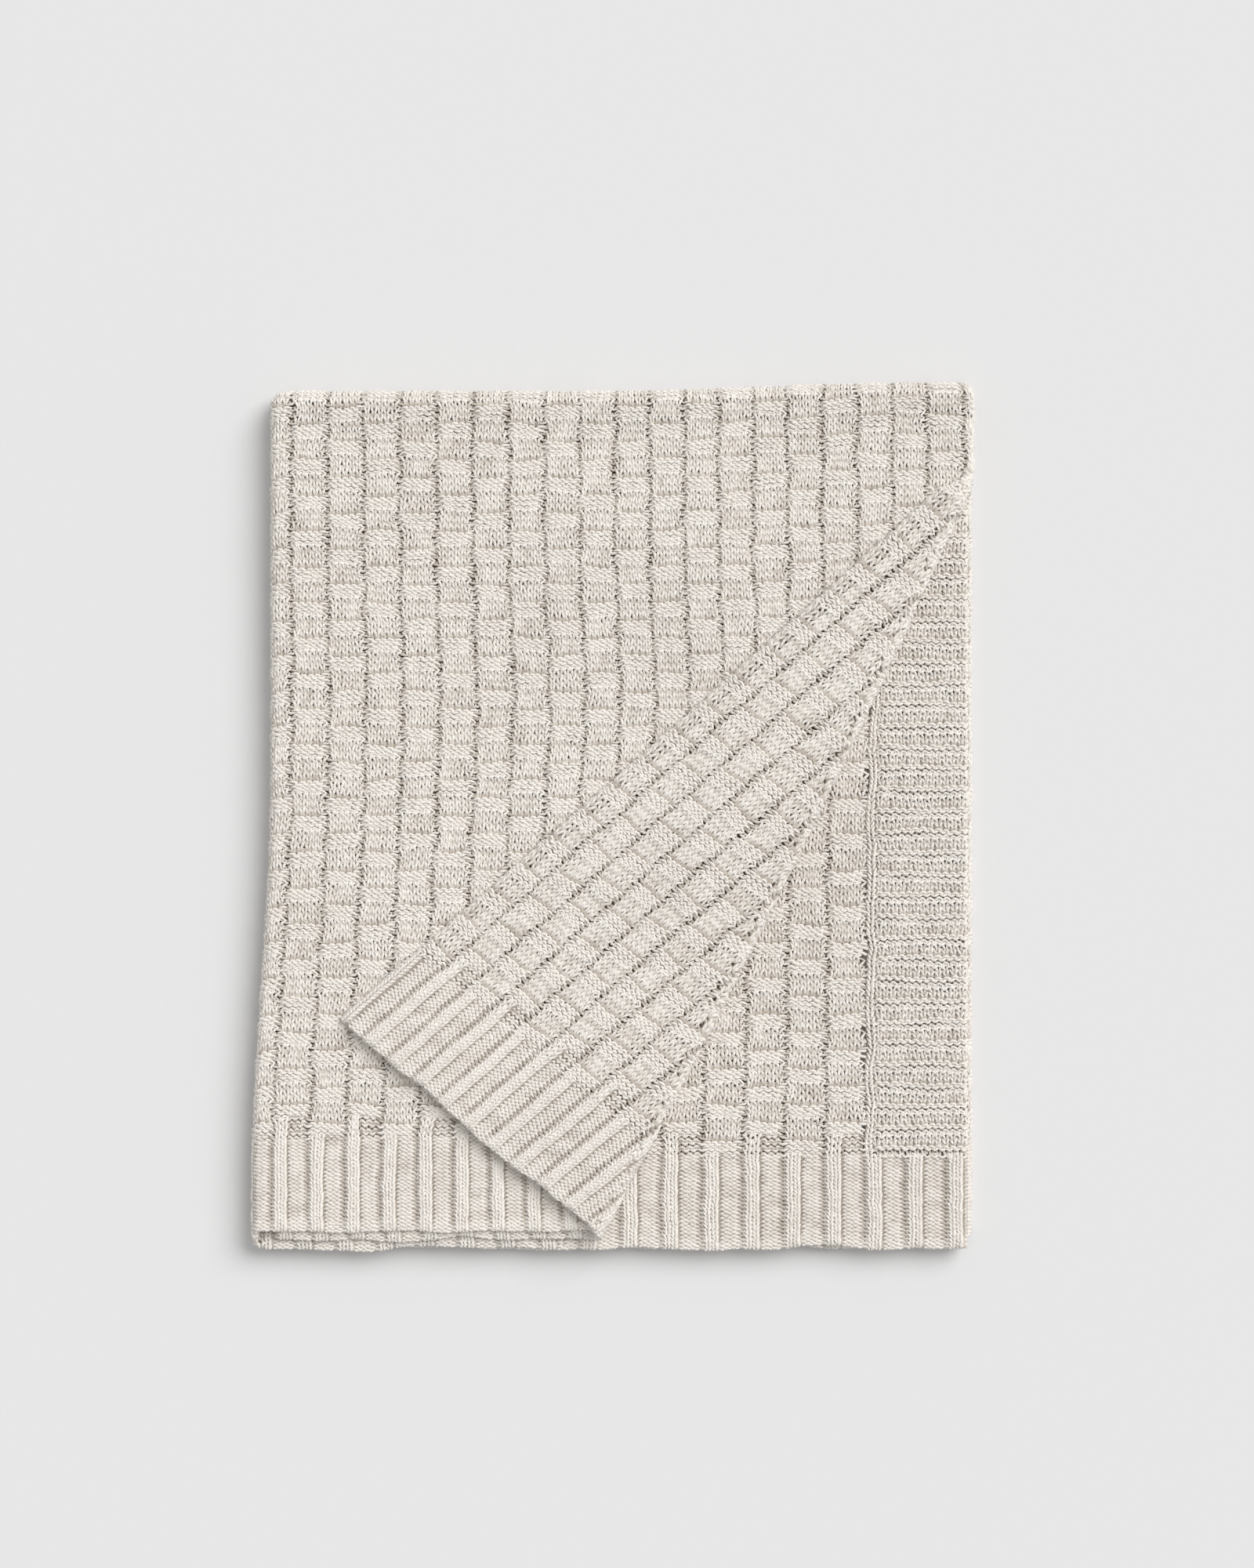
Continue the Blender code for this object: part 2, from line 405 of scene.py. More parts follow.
    def rise(self, line: Array, flat: Array) -> Array:
        """How far the flap is pulled up along the crease, near the crease's head.

        Args:
            line: Places along the crease, 0 at its head and negative below.
            flat: How far past the roll's end places are.

        Returns:
            The pull along the crease.
        """
        soft = self.soft
        pull = soft.head_pull * np.exp(line / soft.head_fade) * smooth(0.0, soft.head_start, -line)
        return pull * (1 - smooth(0.0, soft.pull_reach, flat))

    def crease_bulge(self, line: Array) -> Array:
        """How far the roll of the crease swells outward at places along it."""
        t = np.clip(-line / self.soft.crease_length, 0, 1)
        return self.soft.bulge * np.sin(math.pi * t) ** 0.8

    def puff(self, line: Array, flat: Array, turn: Array) -> Array:
        """How high the flap stands off its two flat layers.

        Args:
            line: Places along the crease.
            flat: How far past the roll's end places are.
            turn: How far the roll has turned them.

        Returns:
            The height above the flat layers.
        """
        soft = self.soft
        t = np.clip(-line / soft.crease_length, 0, 1)
        hollow = np.exp(-(((flat - soft.puff_at) / soft.puff_width) ** 2))
        hollow = hollow * smooth(0.0, soft.puff_start, flat)
        height = soft.puff * hollow + soft.puff_all
        return height * np.sin(math.pi * t) ** 0.5 * np.sin(turn / 2) ** 2

    def settle(self, p: Array) -> Array:
        """Adds the low waves that a soft stack has on its upper side.

        Args:
            p: Points of the folded throw.

        Returns:
            The points, moved up or down.
        """
        free = smooth(0.5, 1.0, p[..., 2] / self.lay.stack)
        near = np.minimum(p[..., 0] - self.lay.left, self.lay.top - p[..., 1])
        free = free * smooth(0.0, self.soft.wave_start, near)
        out = p.copy()
        out[..., 2] += self.soft.wave * self.wave(p[..., 0], p[..., 1]) * free
        return out

    def relaxed(self, s: Array, height: float) -> Array:
        """Places across the cloth for places that are counted above its face.

        The outside of a fold is longer than the cloth's middle, so more wales fit there.

        Args:
            s: Places counted along the cloth's outside.
            height: How far above the cloth's middle they are counted.

        Returns:
            The places across the cloth.
        """
        spare = math.pi * height
        marks = [self.inner_start - spare, self.left_x, self.right_x]
        marks += [self.tucked_start + spare]
        places = [self.inner_start, self.left_x, self.right_x, self.tucked_start]
        out = np.interp(s, marks, places)
        out = out + np.minimum(s - marks[0], 0)
        return out + np.maximum(s - marks[-1], 0)

    def surface(
        self, s: Array, v: Array, side: Side, lift: Array | float, floor: float = 0.0
    ) -> Array:
        """Points at a height above the cloth's middle surface, round its free edges too.

        Args:
            s: Places across the cloth.
            v: Places along the cloth.
            side: The side that the height is counted from.
            lift: Height above the middle surface, in metres.
            floor: The lowest that a point may lie, because the throw rests on a floor.

        Returns:
            Points, one row of three for each place.
        """
        s, v, lift = np.broadcast_arrays(
            np.asarray(s, float), np.asarray(v, float), np.asarray(lift, float)
        )
        edge = self.lay.layer / 2
        inside_s = np.clip(s, self.s_min, self.s_max)
        inside_v = np.clip(v, -self.v_max, self.v_max)
        step = 2e-4
        base = self.place(inside_s, inside_v)
        ds = self.place(inside_s + step, inside_v) - self.place(inside_s - step, inside_v)
        dv = self.place(inside_s, inside_v + step) - self.place(inside_s, inside_v - step)
        ds /= np.maximum(np.linalg.norm(ds, axis=-1, keepdims=True), 1e-9)
        dv /= np.maximum(np.linalg.norm(dv, axis=-1, keepdims=True), 1e-9)
        normal = np.cross(dv, ds) * side.value
        normal /= np.maximum(np.linalg.norm(normal, axis=-1, keepdims=True), 1e-9)
        over_s, over_v = s - inside_s, v - inside_v
        over = np.hypot(over_s, over_v)
        angle = np.minimum(over / edge, math.pi)
        sideways = ds * over_s[..., None] + dv * over_v[..., None]
        sideways /= np.maximum(over, 1e-9)[..., None]
        turned = normal * np.cos(angle)[..., None] + sideways * np.sin(angle)[..., None]
        points = base + turned * lift[..., None]
        points[..., 2] = np.maximum(points[..., 2], floor)
        return points


@dataclass(frozen=True)
class Gauge:
    """How one loop of yarn is bent, in metres, or in wales and courses."""

    yarn: float = 0.00119
    depth: float = 0.00105
    swing: float = 0.30
    reach: float = 0.87
    samples: int = 8
    centre: float = 0.0009


@dataclass(frozen=True)
class Relief:
    """How far stitches stand above the cloth's even surface, in metres; widths in wales."""

    knit: float = -0.00022
    purl: float = 0.00042
    ladder: float = 0.00035
    ladder_width: float = 0.30
    rib: float = 0.00065
    valley: float = -0.00025
    groove: float = 0.0011
    groove_width: float = 0.28
    cast_on: float = 0.0003
    cast_on_share: float = 0.3
    cast_on_rows: tuple[float, float] = (0.5, 3.0)


@dataclass(frozen=True)
class Uneven:
    """How much stitches stray: slip in wales, lift in courses, the rest in metres."""

    slip: float = 0.035
    lift: float = 0.05
    bob: float = 0.00010
    pull: float = 0.00016
    slide_s: float = 0.00065
    slide_v: float = 0.00060
    edge_reach: float = 0.02
    hem_share: float = 0.4
    hem_blend: float = 0.01


@dataclass
class Patch:
    """Basket knit with a rib hem, on one side of one half of the cloth.

    Wales are counted from start_s and courses from the hem edge. A check is as many
    wales wide as a column, and half its courses are knit and half are purl.
    """

    side: Side
    start_s: float
    column: float
    columns: int
    hem_v: float
    check: float
    half: float = 1.0
    phase: int = 0
    seed: int = 1
    tall: int = 0
    ladder: float = 0.105
    ladder_edge: float = 0.24
    wales: int = WALES
    check_rows: int = COURSES
    hem_depth: float = 0.0665
    hem_rows: int = 23
    hem_stagger: int = 3
    push: float = 0.00140
    spread: float = 0.0009
    lean_rows: float = 1.5
    rib_wales: int = 2
    gauge: Gauge = Gauge()
    heights: Relief = Relief()
    uneven: Uneven = Uneven()

    def __post_init__(self) -> None:
        """Draws the small unevenness of hand and machine."""
        self.uneven_s = Ripple(SEED + 10 * self.seed, 0.060, 0.012, 14)
        self.uneven_v = Ripple(SEED + 10 * self.seed + 1, 0.060, 0.012, 14)
        self.pull = Ripple(SEED + 10 * self.seed + 2, 0.030, 0.009, 12)

    def count(self) -> int:
        """How many wales the patch has."""
        return self.columns * self.wales

    def hem_end(self, column: Array) -> Array:
        """The course above the hem where a column's basket knit starts."""
        return np.where((column + self.tall) % 2 == 0, self.hem_stagger, 0)

    def stitch_chart(self, i: Array, j: Array) -> Array:
        """Which stitches are knit and which are purl.

        Args:
            i: Wales.
            j: Courses.

        Returns:
            1 for a knit stitch and -1 for a purl one.
        """
        column = i // self.wales
        row = j - self.hem_rows
        half = self.check_rows // 2
        turn = row + half * (column % 2) + self.phase
        basket = np.where(turn % self.check_rows < half, 1.0, -1.0)
        rib = np.where(i % self.wales < self.rib_wales, 1.0, -1.0)
        return np.where(row >= self.hem_end(column), basket, rib)

    def wave(self, row: Array, column: Array) -> Array:
        """Where courses lie between their column's two kinds of check.

        Args:
            row: Courses above the hem.
            column: Columns.

        Returns:
            Numbers from -1 to 1.
        """
        half = self.check_rows / 2
        turn = (row + half * (column % 2) + self.phase) % self.check_rows
        return 2 * np.where(turn < half, turn, 2 * half - turn) / half - 1

    def in_column(self, p: Array) -> tuple[Array, Array]:
        """The column of wale p (a real number), and how many wales into it p lies."""
        column = np.floor(p / self.wales)
        return column, p - column * self.wales

    def along(self, p: Array, c: Array) -> Array:
        """Distance from the hem edge.

        Args:
            p: Wales, as real numbers.
            c: Courses, as real numbers.

        Returns:
            The distances in metres.
        """
        row = c - self.hem_rows
        plain = self.check / self.check_rows
        base = np.where(row < 0, c * self.hem_depth / self.hem_rows, self.hem_depth + row * plain)
        column, f = self.in_column(p)
        near = np.where(f < self.wales / 2, column - 1, column + 1)
        edge = np.minimum(f, self.wales - f)
        own = 0.5 + 0.5 * smooth(0.0, 0.35, edge)
        lift = self.wave(row, column) * own + self.wave(row, near) * (1 - own)
        return base + self.push * lift * smooth(-3.0, 1.5, row)

    def over(self, p: Array, c: Array) -> Array:
        """Distance across the cloth.

        Args:
            p: Wales, as real numbers.
            c: Courses, as real numbers.

        Returns:
            The distances in metres.
        """
        column, f = self.in_column(p)
        extra = self.column * self.ladder
        narrow = (self.column - extra) / self.wales
        gap = smooth(0, self.ladder_edge, f)
        gap = gap + smooth(self.wales - self.ladder_edge, self.wales, f)
        row = c - self.hem_rows
        lean = self.wave(row + self.lean_rows, 0 * column) * smooth(-1.0, 3.0, row)
        sign = 1 - 2 * (column % 2)
        swell = self.spread * sign * lean * (1 - 2 * f / self.wales)
        return column * self.column + f * narrow + 0.5 * extra * gap + swell

    def relief(self, p: Array, c: Array, chart: Array) -> Array:
        """How much stitches stand above or below the cloth's even surface.

        Args:
            p: Wales, as real numbers.
            c: Courses, as real numbers.
            chart: 1 where the stitch is knit and -1 where it is purl.

        Returns:
            Heights in metres.
        """
        high = self.heights
        column, f = self.in_column(p)
        edge = np.minimum(f, self.wales - f)
        hem = 1.0 - smooth(-0.8, 0.8, c - self.hem_rows - self.hem_end(column))
        ladder = np.exp(-((edge / high.ladder_width) ** 2)) * high.ladder
        ridge = np.where(chart > 0, high.knit, high.purl)
        rib = np.where(f < self.rib_wales, high.rib, high.valley)
        beside = np.minimum(edge, np.abs(f - self.rib_wales))
        rib = rib - high.groove * np.exp(-((beside / high.groove_width) ** 2))
        share = high.cast_on_share
        share = share + (1 - share) * smooth(*high.cast_on_rows, c)
        rib = high.cast_on + (rib - high.cast_on) * share
        return (ridge - ladder) * (1 - hem) + rib * hem

    def loops(self, rows: Array) -> tuple[Array, Array, Array]:
        """The yarn's path, one row of points for each course.

        Args:
            rows: The courses, one after another.

        Returns:
            Places across and along the cloth, and heights above its even surface.
        """
        g, stray = self.gauge, self.uneven
        count = self.count()
        above_too = np.append(rows, rows[-1] + 1)
        chart = self.stitch_chart(*np.meshgrid(np.arange(-1, count + 1), above_too))
        t = np.arange(g.samples) * TAU / g.samples
        own, above = chart[:-1, 1:-1, None], chart[1:, 1:-1, None]
        beside = np.where(t < math.pi, chart[:-1, :-2, None], chart[:-1, 2:, None])
        leg = (1 - np.cos(2 * t)) / 2
        head = (np.cos(t) < -0.01).astype(float)
        end = -above * head - 0.5 * (own + beside) * (1 - head)
        height = g.depth * (own * leg + end * (1 - leg))
        draw = np.random.default_rng(SEED + self.seed)
        slip, lift, bob = draw.normal(0, 1, (3, len(rows), count, 1))
        p = np.arange(count)[None, :, None] + t / TAU + g.swing * np.sin(2 * t)
        p = p + stray.slip * slip * leg
        c = rows[:, None, None] + 0.5 - g.reach * np.cos(t) + stray.lift * lift * head
        height = height + stray.bob * bob * (0.5 + leg)
        height = height + self.relief(p, c, own + 0 * height)
        flat = (len(rows), count * g.samples)
        p, c, height = p.reshape(flat), c.reshape(flat), height.reshape(flat)
        x, y = self.over(p, c), self.along(p, c)
        calm, near = self.uneven.hem_share, self.uneven.hem_blend
        past_hem = smooth(-near, near, y - self.hem_depth)
        rough = smooth(0.0, self.uneven.edge_reach, y) * (calm + (1 - calm) * past_hem)
        height = height + stray.pull * self.pull(x, y)
        slide = stray.slide_s * self.uneven_s(x, y) * rough
        x, y = x + slide, y + stray.slide_v * self.uneven_v(x, y) * rough
        return self.start_s + self.side.value * x, self.half * (self.hem_v - y), height


@dataclass
class BorderPatch(Patch):
    """The side border: a chain of big knit stitches, then ridges in pairs of courses."""

    chain: float = 0.0068
    chain_rise: float = 0.0002
    ridge_wales: int = 13
    ridge: float = 0.0006
    furrow: float = -0.0001
    bunch: float = 0.0010
    join_groove: float = 0.0003
    join_at: float = 1.05
    join_width: float = 0.3
    course: float = 0.00385
    ridge_rows: int = 4

    def count(self) -> int:
        """How many wales the border has."""
        return 1 + self.ridge_wales

    def stitch_chart(self, i: Array, j: Array) -> Array:
        """Knit on the chain, and two courses of each kind beside it."""
        return np.where((i > 0) & (j % self.ridge_rows < self.ridge_rows // 2), -1.0, 1.0)

    def along(self, p: Array, c: Array) -> Array:
        """Distance from the hem edge, with a ridge's courses drawn together."""
        pair = (c % self.ridge_rows) / self.ridge_rows
        bunched = self.bunch * np.sin(TAU * pair) * smooth(0.8, 1.2, p)
        return self.hem_depth + c * self.course + bunched

    def over(self, p: Array, c: Array) -> Array:
        """Distance across the cloth: the chain is one wide wale."""
        wale = (self.column - self.chain) / (self.ridge_wales - 1)
        return np.where(p < 1, p * self.chain, self.chain + (p - 1) * wale)

    def relief(self, p: Array, c: Array, chart: Array) -> Array:
        """The ridges and the chain stand up, and a groove runs beside the chain."""
        ridge = np.where(chart < 0, self.ridge, self.furrow)
        groove = self.join_groove * np.exp(-(((p - self.join_at) / self.join_width) ** 2))
        return np.where(p < 1, self.chain_rise, ridge) - groove


class YarnTree:
    """The Geometry Nodes tree that turns centrelines into yarn."""

    def __init__(self) -> None:
        """Builds the tree with its named inputs."""
        tree = self.tree = bpy.data.node_groups.new("yarn", "GeometryNodeTree")
        self._socket("Geometry", "Geometry")
        self.radius = self._socket("Yarn Radius", "Float")
        self.sides = self._socket("Yarn Sides", "Int")
        self.finish = self._socket("Finish", "Material")
        self._socket("Geometry", "Geometry", "OUTPUT")
        given, result = self._add("NodeGroupInput"), self._add("NodeGroupOutput")
        line = self._add("GeometryNodeMeshToCurve")
        ring = self._add("GeometryNodeCurvePrimitiveCircle", mode="RADIUS")
        place = self._add("GeometryNodeInputPosition")
        mark = self._add(
            "GeometryNodeStoreNamedAttribute", data_type="FLOAT_VECTOR", domain="POINT"
        )
        unit = self._add("ShaderNodeVectorMath", operation="NORMALIZE")
        girth = self._add("GeometryNodeInputNamedAttribute", data_type="FLOAT")
        swell = self._add("GeometryNodeSetCurveRadius")
        sweep = self._add("GeometryNodeCurveToMesh")
        shade = self._add("GeometryNodeSetShadeSmooth")
        real = self._add("GeometryNodeRealizeInstances")
        dress = self._add("GeometryNodeSetMaterial")
        mark.inputs["Name"].default_value = "ring"
        girth.inputs["Name"].default_value = "girth"
        sweep.inputs["Fill Caps"].default_value = True
        link = tree.links.new
        link(given.outputs["Geometry"], line.inputs["Mesh"])
        link(given.outputs["Yarn Radius"], ring.inputs["Radius"])
        link(given.outputs["Yarn Sides"], ring.inputs["Resolution"])
        link(ring.outputs["Curve"], mark.inputs["Geometry"])
        link(place.outputs["Position"], unit.inputs[0])
        link(unit.outputs["Vector"], mark.inputs["Value"])
        link(line.outputs["Curve"], swell.inputs["Curve"])
        link(girth.outputs["Attribute"], swell.inputs["Radius"])
        link(swell.outputs["Curve"], sweep.inputs["Curve"])
        if "Scale" in sweep.inputs:
            link(girth.outputs["Attribute"], sweep.inputs["Scale"])
        link(mark.outputs["Geometry"], sweep.inputs["Profile Curve"])
        link(sweep.outputs["Mesh"], shade.inputs["Geometry"])
        link(shade.outputs["Geometry"], real.inputs["Geometry"])
        link(real.outputs["Geometry"], dress.inputs["Geometry"])
        link(given.outputs["Finish"], dress.inputs["Material"])
        link(dress.outputs["Geometry"], result.inputs["Geometry"])

    def _socket(self, name: str, kind: str, way: str = "INPUT") -> str:
        """Adds one input or output to the tree, and returns its identifier."""
        face = self.tree.interface
        return face.new_socket(name, in_out=way, socket_type="NodeSocket" + kind).identifier

    def _add(self, kind: str, **settings: Any) -> bpy.types.Node:
        """Adds one node with its settings."""
        node = self.tree.nodes.new(kind)
        for name, value in settings.items():
            setattr(node, name, value)
        return node

    def spin(
        self,
        name: str,
        lines: list[tuple[Array, dict[str, Array]]],
        radius: float,
        sides: int,
        finish: bpy.types.Material,
    ) -> bpy.types.Object:
        """Makes one piece of yarn from centrelines.

        Args:
            name: The piece's name.
            lines: Each centreline's points and its point attributes.
            radius: The yarn's radius in metres.
            sides: Flats round the yarn.
            finish: The yarn's material.

        Returns:
            The finished object, a plain mesh.
        """
        points = np.concatenate([line for line, _ in lines])
        edges, start = [], 0
        for line, _ in lines:
            index = np.arange(start, start + len(line) - 1)
            edges.append(np.stack([index, index + 1], -1))
            start += len(line)
        mesh = bpy.data.meshes.new(name + "_path")
        joined = np.concatenate(edges)
        mesh.vertices.add(len(points))
        mesh.vertices.foreach_set("co", points.astype(np.float32).ravel())
        mesh.edges.add(len(joined))
        mesh.edges.foreach_set("vertices", joined.astype(np.int32).ravel())
        for key in lines[0][1]:
            made = mesh.attributes.new(key, "FLOAT", "POINT")
            values = np.concatenate([marks[key] for _, marks in lines])
            made.data.foreach_set("value", values.astype(np.float32))
        mesh.update()
        path = bpy.data.objects.new(name + "_path", mesh)
        bpy.context.scene.collection.objects.link(path)
        modifier = path.modifiers.new("yarn", "NODES")
        modifier.node_group = self.tree
        modifier[self.radius] = radius
        modifier[self.sides] = sides
        modifier[self.finish] = finish
        graph = bpy.context.evaluated_depsgraph_get()
        result = bpy.data.meshes.new_from_object(path.evaluated_get(graph))
        result.name = name
        made = bpy.data.objects.new(name, result)
        bpy.context.scene.collection.objects.link(made)
        bpy.data.objects.remove(path)
        bpy.data.meshes.remove(mesh)
        return made


class Sock:
    """A shader socket that can be used in Python expressions."""

    def __init__(self, maker: "Shading", socket: bpy.types.NodeSocket) -> None:
        """Wraps a socket of the maker's tree."""
        self.maker, self.socket = maker, socket

    def _with(self, operation: str, *others: Any) -> "Sock":
        """A Math node on this and other values."""
        return self.maker.node("ShaderNodeMath", {"operation": operation}, self, *others)

    def __add__(self, other: Any) -> "Sock":
        """Sum."""
        return self._with("ADD", other)

    __radd__ = __add__

    def __mul__(self, other: Any) -> "Sock":
        """Product."""
        return self._with("MULTIPLY", other)

    __rmul__ = __mul__

    def __sub__(self, other: Any) -> "Sock":
        """Difference."""
        return self._with("SUBTRACT", other)

    def __rsub__(self, other: Any) -> "Sock":
        """Difference from a number."""
        return self.maker.node("ShaderNodeMath", {"operation": "SUBTRACT"}, other, self)

    def sin(self) -> "Sock":
        """Sine."""
        return self._with("SINE")

    def absolute(self) -> "Sock":
        """Distance from 0."""
        return self._with("ABSOLUTE")

    def fract(self) -> "Sock":
        """Fractional part."""
        return self._with("FRACT")

    def clamp(self, low: float = 0.0, high: float = 1.0) -> "Sock":
        """Kept between two numbers."""
        return self._with("MAXIMUM", low)._with("MINIMUM", high)

    def step(self, low: float, high: float) -> "Sock":
        """A smooth step from 0 at low to 1 at high."""
        settings = {"interpolation_type": "SMOOTHSTEP"}
        return self.maker.node("ShaderNodeMapRange", settings, self, low, high, 0.0, 1.0)


class Shading:
    """Builds one material's nodes."""

    def __init__(self, name: str) -> None:
        """Makes the material with an empty tree; finish adds the output."""
        self.material = bpy.data.materials.new(name)
        self.material.use_nodes = True
        self.tree = self.material.node_tree
        self.tree.nodes.clear()

    def node(self, kind: str, settings: dict[str, Any], *values: Any, **named: Any) -> Sock:
        """Adds any node.

        Args:
            kind: The node's type.
            settings: Its properties, set first.
            values: Values or links of its first sockets, in order. None skips one.
            named: Values or links of sockets by name, with _ for a space.

        Returns:
            Its first enabled output.
        """
        made = self.tree.nodes.new(kind)
        for key, value in settings.items():
            setattr(made, key, value)
        active = [socket for socket in made.inputs if socket.enabled]
        pairs = list(zip(active, values))
        pairs += [(made.inputs[key.replace("_", " ")], v) for key, v in named.items()]
        for socket, value in pairs:
            if isinstance(value, Sock):
                self.tree.links.new(value.socket, socket)
            elif value is not None:
                socket.default_value = value
        return Sock(self, next(out for out in made.outputs if out.enabled))

    def attribute(self, name: str, output: str = "Fac") -> Sock:
        """One of the piece's own attributes."""
        made = self.node("ShaderNodeAttribute", {"attribute_name": name})
        return Sock(self, made.socket.node.outputs[output])

    def coordinates(self, output: str = "Object") -> Sock:
        """Texture coordinates."""
        made = self.node("ShaderNodeTexCoord", {})
        return Sock(self, made.socket.node.outputs[output])

    def part(self, vector: Sock) -> tuple[Sock, Sock, Sock]:
        """A vector's three parts."""
        node = self.node("ShaderNodeSeparateXYZ", {}, vector).socket.node
        x, y, z = (Sock(self, out) for out in node.outputs)
        return x, y, z

    def noise(self, where: Sock, scale: float, detail: float = 2.0) -> Sock:
        """A noise value."""
        return self.node("ShaderNodeTexNoise", {}, Vector=where, Scale=scale, Detail=detail)

    def bump(self, height: Sock, strength: float, distance: float) -> Sock:
        """A normal bent by a height."""
        sizes = {"Strength": strength, "Distance": distance}
        return self.node("ShaderNodeBump", {}, Height=height, **sizes)

    def blend(self, factor: Any, first: Any, second: Any) -> Sock:
        """Two colours mixed by a factor."""
        made = self.node("ShaderNodeMix", {"data_type": "RGBA"}, factor)
        node = made.socket.node
        for name, value in (("A", first), ("B", second)):
            socket = next(s for s in node.inputs if s.enabled and s.name == name)
            if isinstance(value, Sock):
                self.tree.links.new(value.socket, socket)
            else:
                socket.default_value = value
        return Sock(self, next(out for out in node.outputs if out.enabled))

    def finish(self, colour: Sock, bump: Sock | None, fixed: dict[str, Any]) -> None:
        """Adds the shader and the output.

        Args:
            colour: The base colour.
            bump: The normal, or None.
            fixed: Values that are the same all over the surface.
        """
        shader = self.node("ShaderNodeBsdfPrincipled", {}).socket.node
        for key, value in fixed.items():
            shader.inputs[key].default_value = value
        self.tree.links.new(colour.socket, shader.inputs["Base Color"])
        if bump is not None:
            self.tree.links.new(bump.socket, shader.inputs["Normal"])
        output = self.tree.nodes.new("ShaderNodeOutputMaterial")
        self.tree.links.new(shader.outputs["BSDF"], output.inputs["Surface"])


Colour = tuple[float, float, float, float]


@dataclass(frozen=True)
class YarnFinish:
    """Soft cotton yarn: pale on top, with painted shade where it dips between the stitches and in
    the grooves between its plies.
    """

    light: Colour = (0.91, 0.865, 0.81, 1.0)
    # shade: the painted shade colour that low parts of the yarn darken towards.
    shade: Colour = (0.54, 0.475, 0.405, 1.0)
    fleck: Colour = (0.79, 0.72, 0.64, 1.0)
    fleck_share: float = 0.35
    fleck_band: tuple[float, float] = (0.56, 0.72)
    fleck_scale: float = 160.0
    fibre_scale: float = 900.0
    cloud_scale: float = 9.0
    # Painted shade weights: by the stitch's height, and in the ply grooves.
    dip_band: tuple[float, float] = (-0.9, 0.85)
    dip_weight: float = 0.80
    ply_weight: float = 0.10
    cloud_weight: float = 0.25
    tone_weight: float = 0.16
    fibre_weight: float = 0.16
    ply: float = 0.0030
    plies: float = 2.0
    bump: float = 0.55
    relief: float = 0.0004
    roughness: float = 0.88

    def make(self) -> bpy.types.Material:
        """The material."""
        sh = Shading("cotton_yarn")
        where = sh.coordinates()
        height = sh.attribute("height")
        tone = sh.attribute("tone")
        along = sh.attribute("along")
        ring = sh.attribute("ring", "Vector")
        x, y, _ = sh.part(ring)
        angle = sh.node("ShaderNodeMath", {"operation": "ARCTAN2"}, y, x)
        ply = (angle * self.plies + along * (TAU / self.ply)).sin()
        fibre = sh.noise(where, self.fibre_scale, 3.0)
        cloudy = sh.noise(where, self.cloud_scale)
        fleck = sh.noise(where, self.fleck_scale).step(*self.fleck_band)
        lit = sh.blend(fleck * self.fleck_share, self.light, self.fleck)
        # Painted shade where the stitch lies low and in the ply grooves, plus real unevenness of
        # colour from the noises and each stitch's tone.
        painted_shade_and_tone = 1.0 - height.step(*self.dip_band)
        painted_shade_and_tone = painted_shade_and_tone * self.dip_weight + (0.5 - 0.5 * ply) * self.ply_weight
        painted_shade_and_tone = painted_shade_and_tone + (cloudy - 0.5) * self.cloud_weight
        painted_shade_and_tone = painted_shade_and_tone + (tone - 0.5) * self.tone_weight + (fibre - 0.5) * self.fibre_weight
        colour = sh.blend(painted_shade_and_tone.clamp(), lit, self.shade)
        normal = sh.bump(ply * 0.5 + fibre * 0.7, self.bump, self.relief)
        sh.finish(colour, normal, {
            "Roughness": self.roughness,
            "Specular IOR Level": 0.18,
            "Sheen Weight": 0.25,
            "Sheen Roughness": 0.5,
        })
        return sh.material


